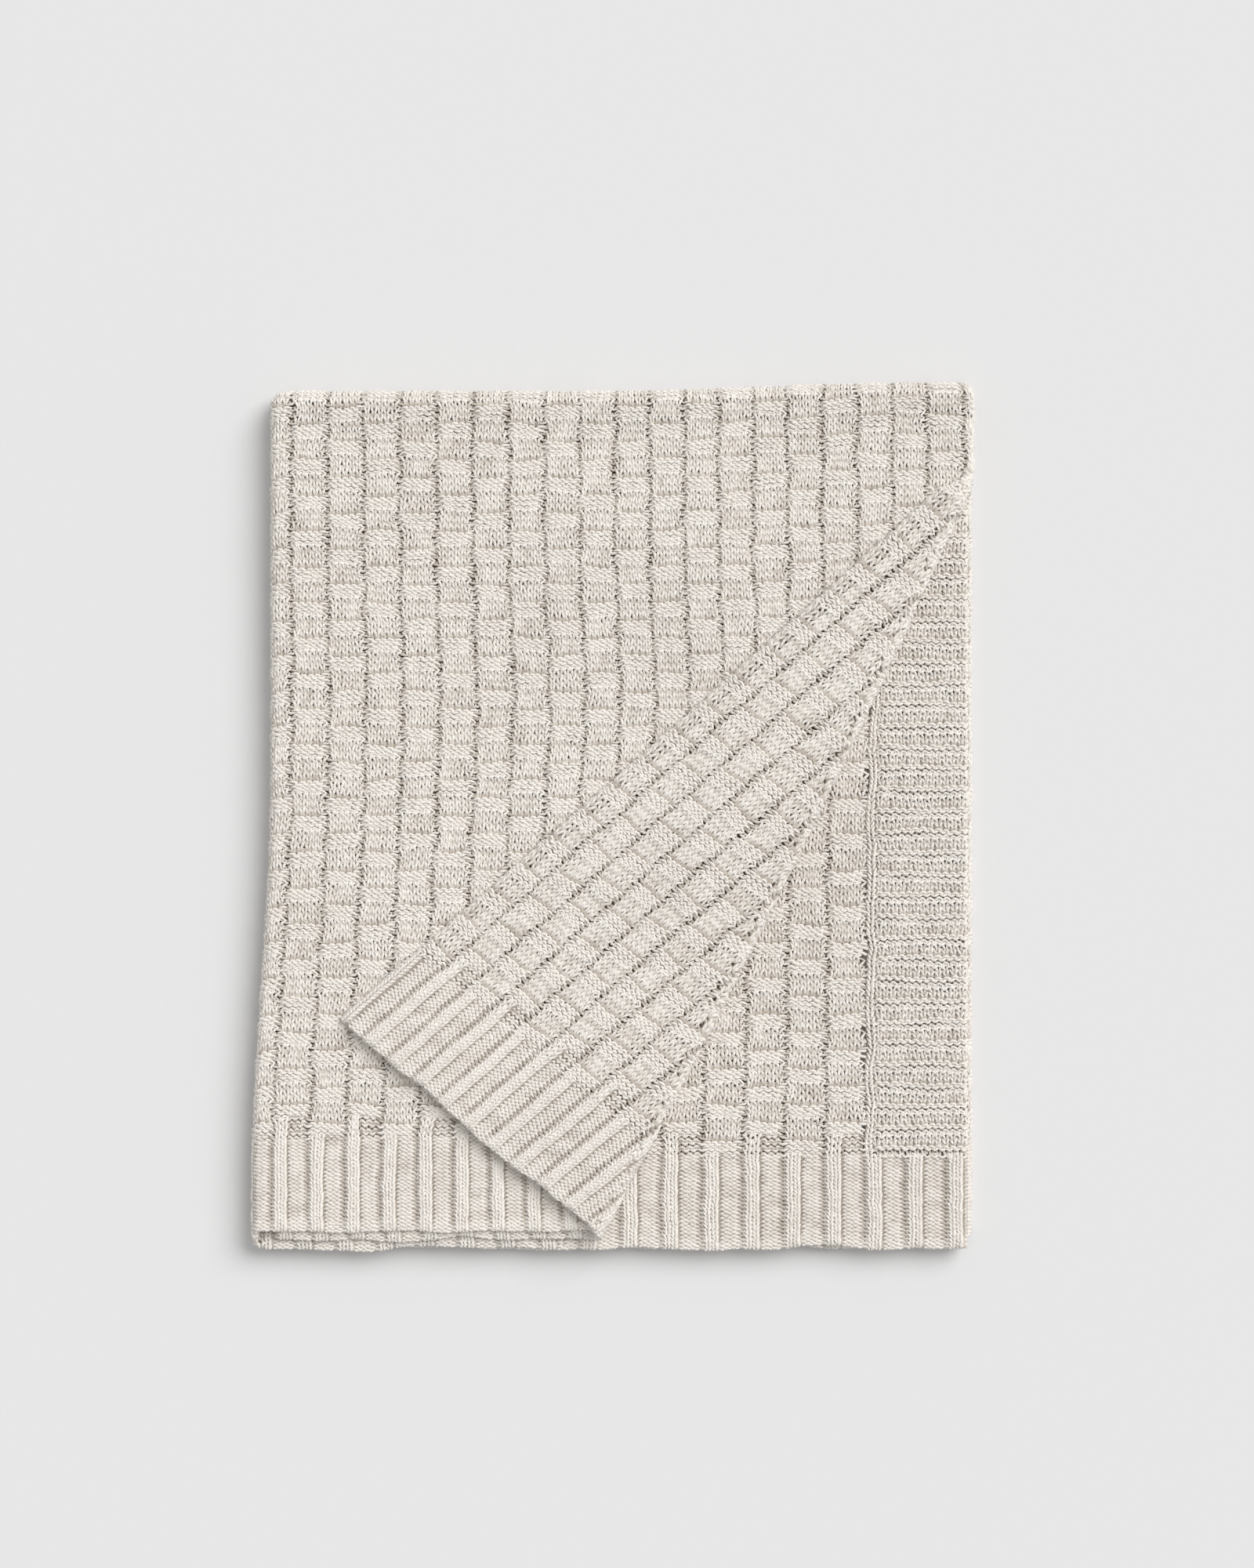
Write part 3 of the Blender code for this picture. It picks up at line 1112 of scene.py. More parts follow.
@dataclass(frozen=True)
class ClothFinish:
    """The cloth behind the loops, with its checks and stitches as bump and as colour of painted
    light and shade.
    """

    # light and shade: the lit colour and the painted shade colour, mixed by the stitches' relief.
    light: Colour = (0.93, 0.885, 0.83, 1.0)
    shade: Colour = (0.42, 0.365, 0.31, 1.0)
    # Painted shade: the dark colour of the cloth under the loose yarn, standing for the shadow in
    # the gaps between stitches.
    deep: Colour = (0.13, 0.105, 0.08, 1.0)
    lean: float = 0.10
    vee: float = 1.1
    turn_start: float = 0.002
    turn_end: float = 0.010
    turn_tone: float = 0.55
    # Painted light and shade: high stitches and purl checks lighter, hollows and ladders darker.
    height_tone: float = 0.65
    purl_tone: float = 0.16
    middle: float = 0.51
    ladder_band: tuple[float, float] = (0.02, 0.10)
    ladder_share: float = 0.25
    worn_scale: float = 300.0
    worn_weight: float = 0.3
    bump: float = 0.9
    relief: float = 0.0012

    def make(self) -> bpy.types.Material:
        """The material."""
        sh = Shading("cotton_cloth")
        u, v, _ = sh.part(sh.coordinates("UV"))
        across = u * (1 / COLUMN)
        f = across.fract()
        odd = (across * 0.5).fract().step(0.499, 0.501)
        purl = (v * (1 / CHECK) + odd * 0.5).fract().step(0.48, 0.52)
        loops = self.stitches(f, v * (COURSES / CHECK), purl)
        edge = 0.5 - (f - 0.5).absolute()
        rest = 1 - self.ladder_share
        height = loops * (self.ladder_share + rest * edge.step(*self.ladder_band))
        past_turn = v.absolute().step(self.turn_start, self.turn_end)
        # Painted light and shade from the relief, flat on the turn between the halves.
        painted_relief_shading = height * self.height_tone + purl * self.purl_tone - self.middle
        tone = self.turn_tone + painted_relief_shading * past_turn
        height = 0.5 + (height - 0.5) * past_turn
        worn = sh.noise(sh.coordinates(), self.worn_scale, 3.0)
        tone = (tone + (worn - 0.5) * self.worn_weight).clamp()
        colour = sh.blend(tone, self.shade, self.light)
        # Painted shade: the cloth turns towards the dark gap colour by its under_yarn weight.
        colour = sh.blend(sh.attribute("under_yarn"), colour, self.deep)
        normal = sh.bump(height, self.bump, self.relief)
        sh.finish(colour, normal, {"Roughness": 0.9, "Specular IOR Level": 0.15})
        return sh.material

    def stitches(self, f: Sock, row: Sock, purl: Sock) -> Sock:
        """The height of the stitches.

        Args:
            f: How far into a column, from 0 to 1.
            row: Courses along the cloth.
            purl: 1 on purl checks and 0 on knit ones.

        Returns:
            Heights from 0 to 1: ridges on purl checks and vees on knit ones.
        """
        wale = (f * (WALES * TAU)).sin()
        split = ((f * float(WALES)).fract() - 0.5).absolute()
        ridge = ((row + wale * self.lean) * TAU).sin() * 0.5 + 0.5
        gap = (0.5 - split).step(0.38, 0.5) * 0.3
        vee = ((row + split * self.vee) * TAU).sin() * 0.25 + 0.5 - gap
        return purl * ridge + (1.0 - purl) * vee


@dataclass(frozen=True)
class FloorFinish:
    """The plain pale floor."""

    light: Colour = (0.81, 0.81, 0.81, 1.0)
    shade: Colour = (0.79, 0.79, 0.79, 1.0)

    def make(self) -> bpy.types.Material:
        """The material."""
        sh = Shading("pale_floor")
        grain = sh.noise(sh.coordinates(), 400.0, 2.0)
        colour = sh.blend(grain, self.light, self.shade)
        sh.finish(colour, None, {"Roughness": 0.9, "Specular IOR Level": 0.1})
        return sh.material


def closed_sheet(
    name: str,
    face: Array,
    back: Array,
    uv: Array,
    shade: tuple[Array, Array],
    cells: Array,
    ids: Array,
) -> bpy.types.Object:
    """One closed piece of cloth from a grid of points on its two sides.

    Args:
        name: The piece's name.
        face: Points of the face side, one for each grid point.
        back: Points of the reverse side.
        uv: Places on the flat cloth, in metres.
        shade: How much painted shade each grid point takes under loose yarn, on each side.
        cells: True where the grid's cell belongs to the piece.
        ids: The number of each grid point, shared by grid points at one place.

    Returns:
        The piece, a plain mesh.
    """
    rows, columns = np.nonzero(cells)
    corners = [ids[rows, columns], ids[rows + 1, columns]]
    corners += [ids[rows + 1, columns + 1], ids[rows, columns + 1]]
    a, b, c, d = corners
    faces = np.concatenate([np.stack([a, b, c], -1), np.stack([a, c, d], -1)])
    whole = (faces[:, 0] != faces[:, 1]) & (faces[:, 1] != faces[:, 2])
    faces = faces[whole & (faces[:, 0] != faces[:, 2])]
    edges = np.concatenate([faces[:, [0, 1]], faces[:, [1, 2]], faces[:, [2, 0]]])
    count = ids.max() + 1
    key, back_key = edges[:, 0] * count + edges[:, 1], edges[:, 1] * count + edges[:, 0]
    rim = edges[~np.isin(key, back_key)]
    walls = np.concatenate([
        np.stack([rim[:, 1], rim[:, 0], rim[:, 0] + count], -1),
        np.stack([rim[:, 1], rim[:, 0] + count, rim[:, 1] + count], -1),
    ])
    everything = np.concatenate([faces, faces[:, ::-1] + count, walls])
    used, everything = np.unique(everything, return_inverse=True)
    everything = everything.reshape(-1, 3)
    first = np.unique(ids.ravel(), return_index=True)[1]
    points = np.concatenate([face.reshape(-1, 3)[first], back.reshape(-1, 3)[first]])[used]
    flat = np.tile(uv.reshape(-1, 2)[first], (2, 1))[used]
    # Painted shade weights of the kept points, stored as under_yarn.
    deep = np.concatenate([side.ravel()[first] for side in shade])[used]
    mesh = bpy.data.meshes.new(name)
    mesh.vertices.add(len(points))
    mesh.vertices.foreach_set("co", points.astype(np.float32).ravel())
    mesh.loops.add(everything.size)
    mesh.loops.foreach_set("vertex_index", everything.astype(np.int32).ravel())
    mesh.polygons.add(len(everything))
    mesh.polygons.foreach_set("loop_start", np.arange(0, everything.size, 3, dtype=np.int32))
    layer = mesh.uv_layers.new(name="cloth")
    layer.data.foreach_set("uv", flat[everything.ravel()].astype(np.float32).ravel())
    mesh.update(calc_edges=True)
    mesh.shade_smooth()
    made = mesh.attributes.new("under_yarn", "FLOAT", "POINT")
    made.data.foreach_set("value", deep.astype(np.float32))
    piece = bpy.data.objects.new(name, mesh)
    bpy.context.scene.collection.objects.link(piece)
    return piece


def merge_numbers(*values: Array) -> Array:
    """The same number for grid points at the same place."""
    keys = np.stack([np.round(value / 1e-6).astype(np.int64).ravel() for value in values], -1)
    return np.unique(keys, axis=0, return_inverse=True)[1].reshape(values[0].shape)


@dataclass
class Zones:
    """Which parts of the cloth carry loose yarn, and which body each part goes with."""

    cloth: Cloth
    under: float = 0.014
    border: float = 0.0725
    chain_groove: float = 0.006
    soft_edge: float = 0.004
    lap: float = 0.003
    head_lap: float = -0.02

    def past(self, s: Array, v: Array) -> tuple[Array, Array]:
        """How far past the start and the end of the crease's roll places are.

        Args:
            s: Places across the cloth.
            v: Places along the cloth.

        Returns:
            Both distances, -1 on cloth that doesn't cross the crease.
        """
        cloth = self.cloth
        s, v = np.broadcast_arrays(s, v)
        p = cloth.stacked(s, v)
        p = p + cloth.lean(p)
        past, radius, _ = cloth.crease_turn(p)
        folds = (s > cloth.inner_start) & (v > 0)
        start = np.where(folds, past, -1.0)
        return start, np.where(folds, past - math.pi * radius, -1.0)

    def bend(self, s: Array, v: Array) -> Array:
        """How much the crease's roll stretches the stitches, from 0 to 1."""
        start, end = self.past(s, v)
        edge = self.soft_edge
        return smooth(-edge, edge, start) * (1 - smooth(-edge, edge, end))

    def top_turn(self, s: Array, v: Array) -> Array:
        """True on the turn between the two halves."""
        _, height = self.cloth.across(s)
        return np.abs(v) < (self.cloth.middle - height) * math.pi / 2

    def under_flap(self, s: Array, v: Array, margin: float) -> Array:
        """Where the front lies under the turned corner.

        Args:
            s: Places across the cloth.
            v: Places along the cloth.
            margin: How far inside the corner's outline a place has to lie.

        Returns:
            True for each place that is under it.
        """
        cloth = self.cloth
        p = cloth.place(s, v)[..., :2]
        head, along, out = cloth.head[:2], cloth.along[:2], cloth.out[:2]
        corner = np.array(cloth.lay.corner)
        top = head + np.array([self.head_lap, 0.0])
        foot = head - along * ((head[1] - cloth.hem_y(0)) / along[1])
        inside = np.ones(p.shape[:-1], bool)
        sides = [(top, corner, margin), (corner, foot, margin), (foot, top, -margin)]
        for start, end, spare in sides:
            way = (end - start) / np.linalg.norm(end - start)
            normal = np.array([-way[1], way[0]])
            inside &= (p - start) @ normal > spare
        return inside

    def front(self, s: Array, v: Array) -> Array:
        """True on the big front face: the outer third, and the folds at its sides."""
        start, _ = self.past(s, v)
        outer = (s > self.cloth.inner_start) & (s < self.cloth.tucked_start)
        return outer & (start <= self.lap) & ~self.under_flap(s, v, self.under)

    def roll(self, s: Array, v: Array) -> Array:
        """True on the outside of the crease's roll."""
        start, end = self.past(s, v)
        return (s > self.cloth.right_x) & (v > 0) & (start > -self.lap) & (end < 0)

    def corner(self, s: Array, v: Array) -> Array:
        """True on the outside of the turned corner."""
        _, end = self.past(s, v)
        return (s > self.cloth.right_x - self.soft_edge) & (v > 0) & (end >= 0)

    def side_border(self, s: Array, v: Array) -> Array:
        """True on the garter border by the free edge, and on the groove beside its chain."""
        hem_v = self.cloth.v_max - Patch.hem_depth
        return (s < self.cloth.s_min + self.border + self.chain_groove) & (v < hem_v)

    def bared(self, s: Array, v: Array) -> Array:
        """True on the inner third where the turned corner bares it."""
        p = self.cloth.stacked(s, v)
        past = (p - self.cloth.centre) @ self.cloth.out
        return (s < self.cloth.inner_start) & (v > 0) & (past > -self.under)


@dataclass
class BaseCloth:
    """The closed cloth behind the loose yarn, in one piece for each way that it moves."""

    cloth: Cloth
    zones: Zones
    wale: float = 0.0053
    course: float = 0.0046
    under_yarn: float = -0.0009
    bare: float = 0.0018
    drawn: float = 0.0006
    drawn_reach: float = 0.012
    roll_fill: float = 0.0013
    # How much the painted shade under the yarn is lessened on the crease's roll and on the side
    # border.
    roll_light: float = 0.75
    border_light: float = 0.5
    check_relief: float = 0.0003
    rim: float = 0.003
    rim_share: float = 0.3
    fold_steps: int = 8
    pieces: dict[str, bpy.types.Object] = field(default_factory=dict)
    areas: dict[str, float] = field(default_factory=dict)

    def stations(self) -> tuple[Array, Array]:
        """The grid over the flat cloth, which follows the folds and the crease.

        Returns:
            Places across and along the cloth, one column for each place across.
        """
        c = self.cloth
        stops = [c.s_min, c.inner_start, c.left_x, c.right_x, c.tucked_start, c.s_max]
        s = [np.array([c.s_min])]
        for low, high in zip(stops, stops[1:]):
            flat = high - low > 0.05
            steps = round((high - low) / self.wale) if flat else self.fold_steps
            s.append(np.linspace(low, high, steps + 1)[1:])
        across = np.concatenate(s)
        _, height = c.across(across)
        turn = (c.middle - height) * math.pi / 2
        start, end = self.crease_stops(across, turn)
        rest = round((c.v_max - 0.01) / self.course)
        spans = [(-c.v_max, -turn, rest), (-turn, 0 * turn, self.fold_steps)]
        spans += [(0 * turn, turn, self.fold_steps), (turn, start, rest // 2)]
        spans += [(start, end, 2 * self.fold_steps), (end, 0 * turn + c.v_max, rest // 2)]
        lines = [np.full_like(across, -c.v_max)[None]]
        for low, high, steps in spans:
            share = np.linspace(0, 1, steps + 1)[1:, None]
            lines.append(low + (high - low) * share)
        v = np.concatenate(lines)
        return np.broadcast_to(across, v.shape), v

    def crease_stops(self, s: Array, turn: Array) -> tuple[Array, Array]:
        """Where the crease's roll starts and ends along each wale of the upper half.

        Args:
            s: Places across the cloth.
            turn: Where each one's top turn ends.

        Returns:
            Places along the cloth, at the hem where the wale doesn't cross the crease.
        """
        c = self.cloth
        past, radius, _ = c.crease_turn(c.stacked(s, turn))
        fall = -c.out[1]
        start = np.clip(turn - past / fall, turn, c.v_max)
        end = np.clip(turn + (math.pi * radius - past) / fall, turn, c.v_max)
        none = s <= c.inner_start
        return np.where(none, c.v_max, start), np.where(none, c.v_max, end)

    def relief(self, s: Array, v: Array) -> Array:
        k = np.floor(s / COLUMN)
        f = s / COLUMN - k
        edge = np.minimum(f, 1 - f) * COLUMN
        phase = np.mod(v / CHECK + 0.5 * (k % 2), 1.0)
        ridge = np.where(phase < 0.5, -self.check_relief, self.check_relief)
        return (ridge * smooth(0.0, self.rim, edge)) * self.past_turn(s, v)

    def past_turn(self, s: Array, v: Array) -> Array:
        """0 on the turn between the halves, where the cloth is drawn thin, and 1 past it."""
        _, height = self.cloth.across(s)
        turn = (self.cloth.middle - height) * math.pi / 2
        return smooth(0.0, self.drawn_reach, np.abs(v) - turn)

    def build(self) -> None:
        """Makes the pieces."""
        c, zones = self.cloth, self.zones
        s, v = self.stations()
        covered = zones.front(s, v) | zones.roll(s, v) | zones.corner(s, v)
        bare = self.bare - self.drawn * (1 - self.past_turn(s, v))
        roll = zones.bend(s, v) * covered
        under = self.under_yarn + self.roll_fill * roll
        face_lift = np.where(covered, under, bare + self.relief(s, v))
        bared = zones.bared(s, v)
        back_lift = np.where(bared, self.under_yarn, bare - self.relief(s, v))
        border = zones.side_border(s, v)
        # Painted shade weights under the loose yarn, for the face and the bared reverse.
        shade = (covered * (1 - self.roll_light * roll), bared * (1 - self.border_light * border))
        near_edge = np.minimum(np.minimum(s - c.s_min, c.s_max - s), c.v_max - np.abs(v))
        thin = self.rim_share + (1 - self.rim_share) * smooth(0, self.rim, near_edge)
        face = c.surface(s, v, Side.FACE, face_lift * thin)
        back = c.surface(s, v, Side.REVERSE, back_lift * thin)
        ids = merge_numbers(s, v)
        mid_s = (s[:-1, :-1] + s[1:, 1:]) / 2
        mid_v = (v[:-1, :-1] + v[1:, :-1] + v[1:, 1:] + v[:-1, 1:]) / 4
        start, end = zones.past(mid_s, mid_v)
        turn = zones.top_turn(mid_s, mid_v)
        upper = (mid_v > 0) & ~turn
        parts = {
            "lower_cloth": (mid_v < 0) & ~turn,
            "top_fold_cloth": turn,
            "upper_cloth": upper & (start < 0),
            "crease_cloth": upper & (start >= 0) & (end < 0),
            "flap_cloth": upper & (end >= 0),
        }
        uv = np.stack([s, v], -1)
        for name, cells in parts.items():
            self.pieces[name] = closed_sheet(name, face, back, uv, shade, cells, ids)
            area = float(((s[:-1, 1:] - s[:-1, :-1]) * cells_height(v) * cells).sum())
            self.areas[name] = area
            LOG.info("%s: %d faces, %.4f m2", name, len(self.pieces[name].data.polygons), area)


def cells_height(v: Array) -> Array:
    """Each grid cell's length along the cloth."""
    return ((v[1:, :-1] - v[:-1, :-1]) + (v[1:, 1:] - v[:-1, 1:])) / 2


@dataclass
class Strand:
    """One piece of loose yarn: a patch of stitches, where on it, and how it moves."""

    name: str
    patch: Patch
    rows: tuple[int, int]
    where: Callable[[Array, Array], Array]
    moves: Move
    sides: int = 4
    knit: Knit = Knit.BASKET


@dataclass
class LooseYarn:
    """Every stitch that shows, laid loop by loop over the base cloth."""

    cloth: Cloth
    zones: Zones
    first_ladder: float = -0.2475
    bare_column: float = 0.0296
    checks: int = 21
    turn_rows: int = 8
    wrap_rows: int = 2
    edge_rows: int = 3
    inner_rows: int = 8
    left_lap: float = 0.012
    right_lap: float = 0.006
    start_lap: float = 0.004
    end_lap: float = 0.01
    border_gap: float = 0.004
    over_edge: tuple[float, float] = (0.0055, 0.0062)
    bend_girth: float = 0.38
    uneven_girth: float = 0.04
    most: int = 190_000
    pieces: dict[str, tuple[bpy.types.Object, Move]] = field(default_factory=dict)

    def patches(self) -> dict[str, Patch]:
        """The patches of stitches, by name, each with its own gauge."""
        c = self.cloth
        hem = Patch.hem_depth
        check = (c.v_max - hem) / self.checks
        spare = math.pi * (Gauge.centre + Gauge.depth)
        lead = math.ceil((self.first_ladder - c.inner_start + spare) / COLUMN)
        first = self.first_ladder - lead * COLUMN
        columns = math.ceil((c.s_max + spare - first) / COLUMN) + 1
        face = Patch(Side.FACE, first, COLUMN, columns, c.v_max, check)
        lead = math.ceil((first - c.s_min + spare) / COLUMN) + 1
        low = first - lead * COLUMN
        lower = Patch(Side.FACE, low, COLUMN, columns + lead, c.v_max, check,
                      half=-1.0, phase=3 + 3 * (lead % 2), seed=2, tall=lead % 2)
        join = c.s_min + self.zones.border
        spare = math.ceil((c.inner_start - join) / self.bare_column)
        bare = Patch(Side.REVERSE, join + spare * self.bare_column, self.bare_column,
                     spare + 3, c.v_max, check, seed=3)
        back = Patch(Side.REVERSE, c.s_max + COLUMN, COLUMN, columns, c.v_max, check, seed=4)
        border = BorderPatch(Side.REVERSE, join, self.zones.border, 1, c.v_max, check, seed=5)
        return {"face": face, "lower": lower, "bare": bare, "back": back, "border": border}

    def strands(self) -> list[Strand]:
        """Every piece of yarn, from the front of the fold to its hidden edges."""
        c, z, patches = self.cloth, self.zones, self.patches()
        face, lower, bare = patches["face"], patches["lower"], patches["bare"]
        hem = face.hem_rows
        last = hem + self.checks * face.check_rows
        turn = last - self.turn_rows
        rows, edge = (-self.wrap_rows, turn), (-self.wrap_rows, self.edge_rows)
        join = c.s_min + z.border
        hem_v = c.v_max - face.hem_depth

        def outside(s: Array, v: Array) -> Array:
            """The outer third and the folds at its sides."""
            return (s > c.inner_start) & (s < c.tucked_start)

        def lower_sides(s: Array, v: Array) -> Array:
            """The side folds of the lower half."""
            left = (s > c.inner_start) & (s < c.left_x + self.left_lap)
            return left | ((s > c.right_x - self.right_lap) & (s < c.tucked_start))

        def lower_middle(s: Array, v: Array) -> Array:
            """All of the lower half but its side folds."""
            return ~lower_sides(s, v)

        def field_part(s: Array, v: Array) -> Array:
            """The bared basket knit and hem, up to the side border."""
            return z.bared(s, v) & ((s > join) | (v > hem_v))

        def inner_edge(s: Array, v: Array) -> Array:
            """The inner third's hem edge, where the front face covers the rest."""
            return (s < c.inner_start) & ~z.bared(s, v)

        def tucked_edge(s: Array, v: Array) -> Array:
            """The tucked third's hem edge, where it isn't turned back."""
            return (s > c.tucked_start) & (z.past(s, v)[0] < self.start_lap)

        def corner_edge(s: Array, v: Array) -> Array:
            """The hem edge of the turned corner's lower layer."""
            return (s > c.left_x) & (s < c.right_x) & (z.past(s, v)[1] > -self.end_lap)

        whole_border = int((hem_v - self.border_gap) / BorderPatch.course)
        upper, lower_half, flap = Move.UPPER, Move.LOWER, Move.FLAP
        back, rib, turned = patches["back"], Knit.RIB, Knit.TURNED
        inner, side = (-self.wrap_rows, self.inner_rows), (-self.wrap_rows, turn)
        return [
            Strand("upper_knit", face, rows, z.front, upper, 5),
            Strand("flap_knit", face, rows, z.corner, flap, 5, turned),
            Strand("flap_edge_knit", face, edge, corner_edge, flap, knit=rib),
            Strand("crease_knit", face, rows, z.roll, Move.CREASE, knit=turned),
            Strand("top_fold_knit", face, (turn, last), outside, Move.TOP),
            Strand("top_fold_under_knit", lower, (turn, last), outside, Move.TOP),
            Strand("lower_side_knit", lower, side, lower_sides, lower_half),
            Strand("lower_edge_knit", lower, edge, lower_middle, lower_half, knit=rib),
            Strand("bare_knit", bare, rows, field_part, upper, 5),
            Strand("inner_edge_knit", bare, inner, inner_edge, upper, knit=rib),
            Strand("tucked_edge_knit", back, edge, tucked_edge, upper, knit=rib),
            Strand("border_knit", patches["border"], (0, whole_border), z.bared, upper,
                   knit=Knit.GARTER),
        ]

    def lines(self, strand: Strand) -> list[tuple[Array, dict[str, Array]]]:
        """The centrelines of one piece of yarn.

        Args:
            strand: The piece.

        Returns:
            Each centreline's points, with what the finish reads at every point.
        """
        patch, c = strand.patch, self.cloth
        samples = patch.gauge.samples
        rows = np.arange(*strand.rows)
        s, v, height = patch.loops(rows)
        if patch.side is Side.FACE:
            s = c.relaxed(s, patch.gauge.centre + patch.gauge.depth)
        inside_s, inside_v = np.clip(s, c.s_min, c.s_max), np.clip(v, -c.v_max, c.v_max)
        over_s, over_v = self.over_edge
        shown = strand.where(inside_s, inside_v)
        shown &= (np.abs(s - inside_s) < over_s) & (np.abs(v - inside_v) < over_v)
        bend = self.zones.bend(inside_s, inside_v)
        draw = np.random.default_rng(SEED + 50 + patch.seed)
        tone = np.repeat(draw.random((len(rows), s.shape[1] // samples)), samples, 1)
        found = []
        for k in range(len(rows)):
            ends = np.flatnonzero(np.diff(np.concatenate([[0], shown[k], [0]])))
            for low, high in zip(ends[::2], ends[1::2]):
                if high - low < samples // 2:
                    continue
                part = slice(max(low - 1, 0), high + 1)
                run = c.surface(s[k, part], v[k, part], patch.side,
                                patch.gauge.centre + height[k, part], patch.gauge.yarn)
                steps = np.linalg.norm(np.diff(run, axis=0), axis=1)
                marks = {
                    "along": np.concatenate([[0], np.cumsum(steps)]),
                    "height": height[k, part] / patch.gauge.depth,
                    "tone": tone[k, part],
                    "girth": 1 + self.bend_girth * bend[k, part]
                    + self.uneven_girth * (tone[k, part] - 0.5),
                }
                found.append((run, marks))
        return found

    def build(self, tree: YarnTree, finish: bpy.types.Material) -> None:
        """Makes the pieces, each split into lengths that stay small enough."""
        for strand in self.strands():
            lines = self.lines(strand)
            sizes = np.array([len(line) for line, _ in lines]) * strand.sides * 2
            count = math.ceil(sizes.sum() / self.most)
            group = (np.cumsum(sizes) - 1) * count // sizes.sum()
            for n in range(count):
                name = strand.name if count == 1 else f"{strand.name}_{n + 1}"
                part = [line for line, g in zip(lines, group) if g == n]
                made = tree.spin(name, part, strand.patch.gauge.yarn, strand.sides, finish)
                self.pieces[name] = (made, strand.moves)
                LOG.info("%s: %d faces", name, len(made.data.polygons))


@dataclass
class Studio:
    """Floor, soft light and the camera, straight above the throw."""

    height: float = 2.625
    centre: tuple[float, float] = (0.0097, 0.0228)
    lens: float = 82.1
    sensor: float = 36.0
    floor: float = 14.0
    key_from: tuple[float, float, float] = (1.3, 1.2, 1.75)
    key_width: float = 0.75
    key_power: float = 2.25
    sky: float = 0.50

    def build(self) -> None:
        """Makes the studio."""
        mesh = bpy.data.meshes.new("floor")
        half = self.floor
        corners = [(-half, -half, 0), (half, -half, 0), (half, half, 0), (-half, half, 0)]
        mesh.from_pydata(corners, [], [(0, 1, 2, 3)])
        mesh.materials.append(FloorFinish().make())
        floor = bpy.data.objects.new("floor", mesh)
        bpy.context.scene.collection.objects.link(floor)
        self.sun("key", self.key_from, self.key_width, self.key_power)
        world = bpy.data.worlds.new("studio")
        world.use_nodes = True
        back = world.node_tree.nodes["Background"]
        back.inputs["Color"].default_value = (1.0, 1.0, 1.0, 1.0)
        back.inputs["Strength"].default_value = self.sky
        bpy.context.scene.world = world
        bpy.context.scene.view_settings.view_transform = "Standard"
        camera = bpy.data.cameras.new("camera")
        camera.lens = self.lens
        camera.sensor_width = self.sensor
        view = bpy.data.objects.new("camera", camera)
        view.location = (*self.centre, self.height)
        bpy.context.scene.collection.objects.link(view)
        bpy.context.scene.camera = view

    def sun(self, name: str, place: tuple[float, float, float], soft: float, power: float) -> None:
        """Adds one soft, far light that shines from a place towards the throw.

        Args:
            name: The light's name.
            place: Where it shines from.
            soft: How wide it looks, in radians.
            power: Its strength.
        """
        data = bpy.data.lights.new(name, "SUN")
        data.angle = soft
        data.energy = power
        lamp = bpy.data.objects.new(name, data)
        lamp.location = place
        lamp.rotation_euler = Vector(place).to_track_quat("Z", "Y").to_euler()
        bpy.context.scene.collection.objects.link(lamp)


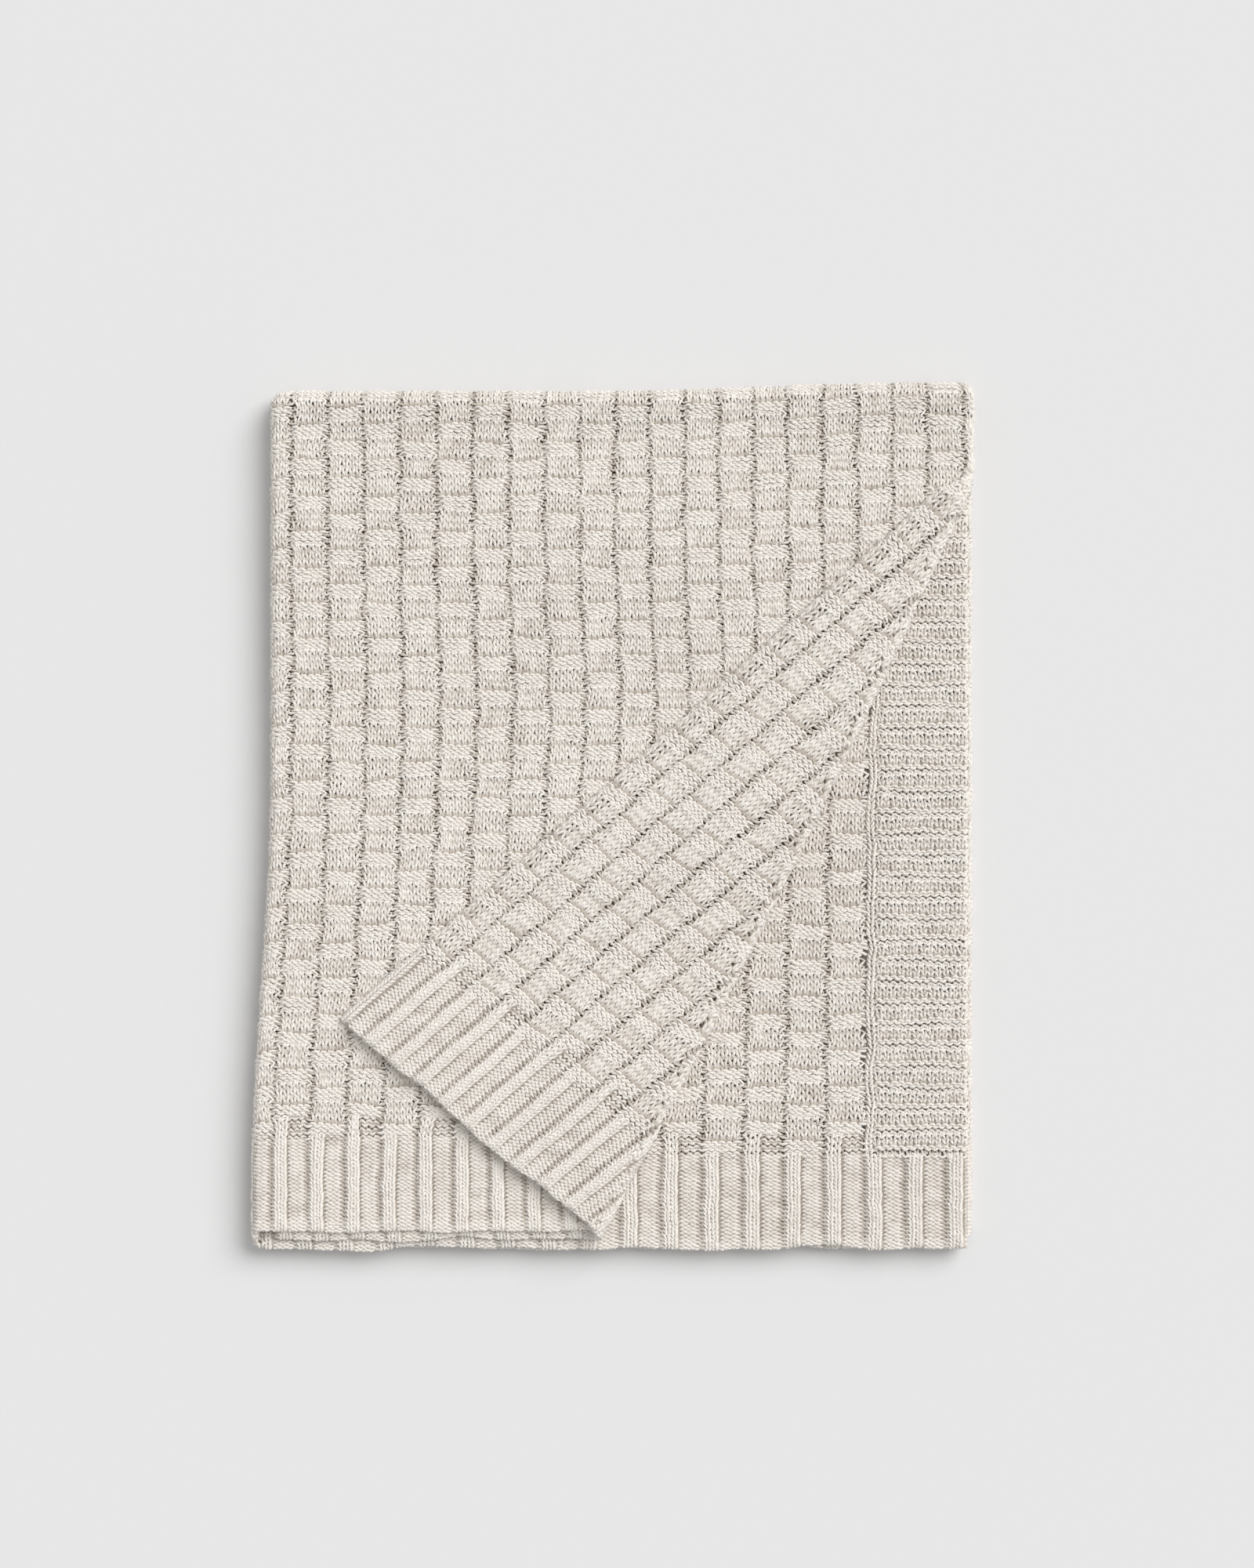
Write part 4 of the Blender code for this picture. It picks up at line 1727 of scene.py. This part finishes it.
def main() -> None:
    """Builds the throw, its finishes and the studio."""
    logging.basicConfig(level=logging.INFO, format="%(name)s: %(message)s")
    cloth = Cloth(Layout.from_frame(frame))
    LOG.info("cloth %.3f x %.3f m", cloth.s_max - cloth.s_min, 2 * cloth.v_max)
    LOG.info("shear %.3f squeeze %.3f", cloth.shear, cloth.squeeze)
    zones = Zones(cloth)
    base = BaseCloth(cloth, zones)
    base.build()
    cloth_finish = ClothFinish().make()
    yarn = LooseYarn(cloth, zones)
    yarn.build(YarnTree(), YarnFinish().make())
    for piece in base.pieces.values():
        piece.data.materials.append(cloth_finish)
    join_bodies(cloth, base, yarn)
    Studio().build()


@dataclass(frozen=True)
class Stretch:
    """A stretch of the base cloth: how it moves, which knit it is, how wide it is laid flat."""

    moves: Move
    knit: Knit
    width: float


STRETCHES = {
    "lower_cloth": Stretch(Move.LOWER, Knit.BASKET, 1.548),
    "top_fold_cloth": Stretch(Move.TOP, Knit.BASKET, 1.548),
    "upper_cloth": Stretch(Move.UPPER, Knit.BASKET, 1.548),
    "crease_cloth": Stretch(Move.CREASE, Knit.TURNED, 0.9),
    "flap_cloth": Stretch(Move.FLAP, Knit.TURNED, 0.6),
}


def stretch_of(node: str) -> str:
    """The stretch of base cloth that stands for a node."""
    if "top_turn" in node:
        return "top_fold_cloth"
    return "crease_cloth" if "crease" in node else node.split("_")[0] + "_cloth"


@dataclass(frozen=True)
class Joints:
    """Which body each piece moves with; pieces on the turns stay where they are built."""

    cloth: Cloth
    top_half: float = 0.0008
    crease_half: float = 0.0019

    def move(self, piece: bpy.types.Object, how: Move) -> None:
        """Rides one piece on its body, or leaves a piece of a turn where it is built.

        Args:
            piece: The piece.
            how: The way it moves.
        """
        middle, top = self.cloth.middle, self.cloth.lay.top
        x, y, z = map(float, self.cloth.head)
        if how is Move.TOP:
            middle - self.top_half
            middle + self.top_half
            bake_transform(piece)
        elif how is Move.CREASE:
            z - self.crease_half
            z + self.crease_half
            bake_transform(piece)
        else:
            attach(piece, how.value)


def join_bodies(cloth: Cloth, base: BaseCloth, yarn: LooseYarn) -> None:
    """Says how every piece moves, and hides the frame's parts that the base cloth stands for.

    Args:
        cloth: The cloth they lie on.
        base: The closed cloth.
        yarn: The loose yarn over it.
    """
    joints = Joints(cloth)
    for name, stretch in STRETCHES.items():
        joints.move(base.pieces[name], stretch.moves)
    for piece, how in yarn.pieces.values():
        joints.move(piece, how)
    for name, stretch in STRETCHES.items():
        piece = base.pieces[name]
        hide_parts(*[node for node in frame["nodes"] if stretch_of(node) == name])
        flat = (stretch.width, base.areas[name] / stretch.width)


if __name__ == "__main__":
    main()
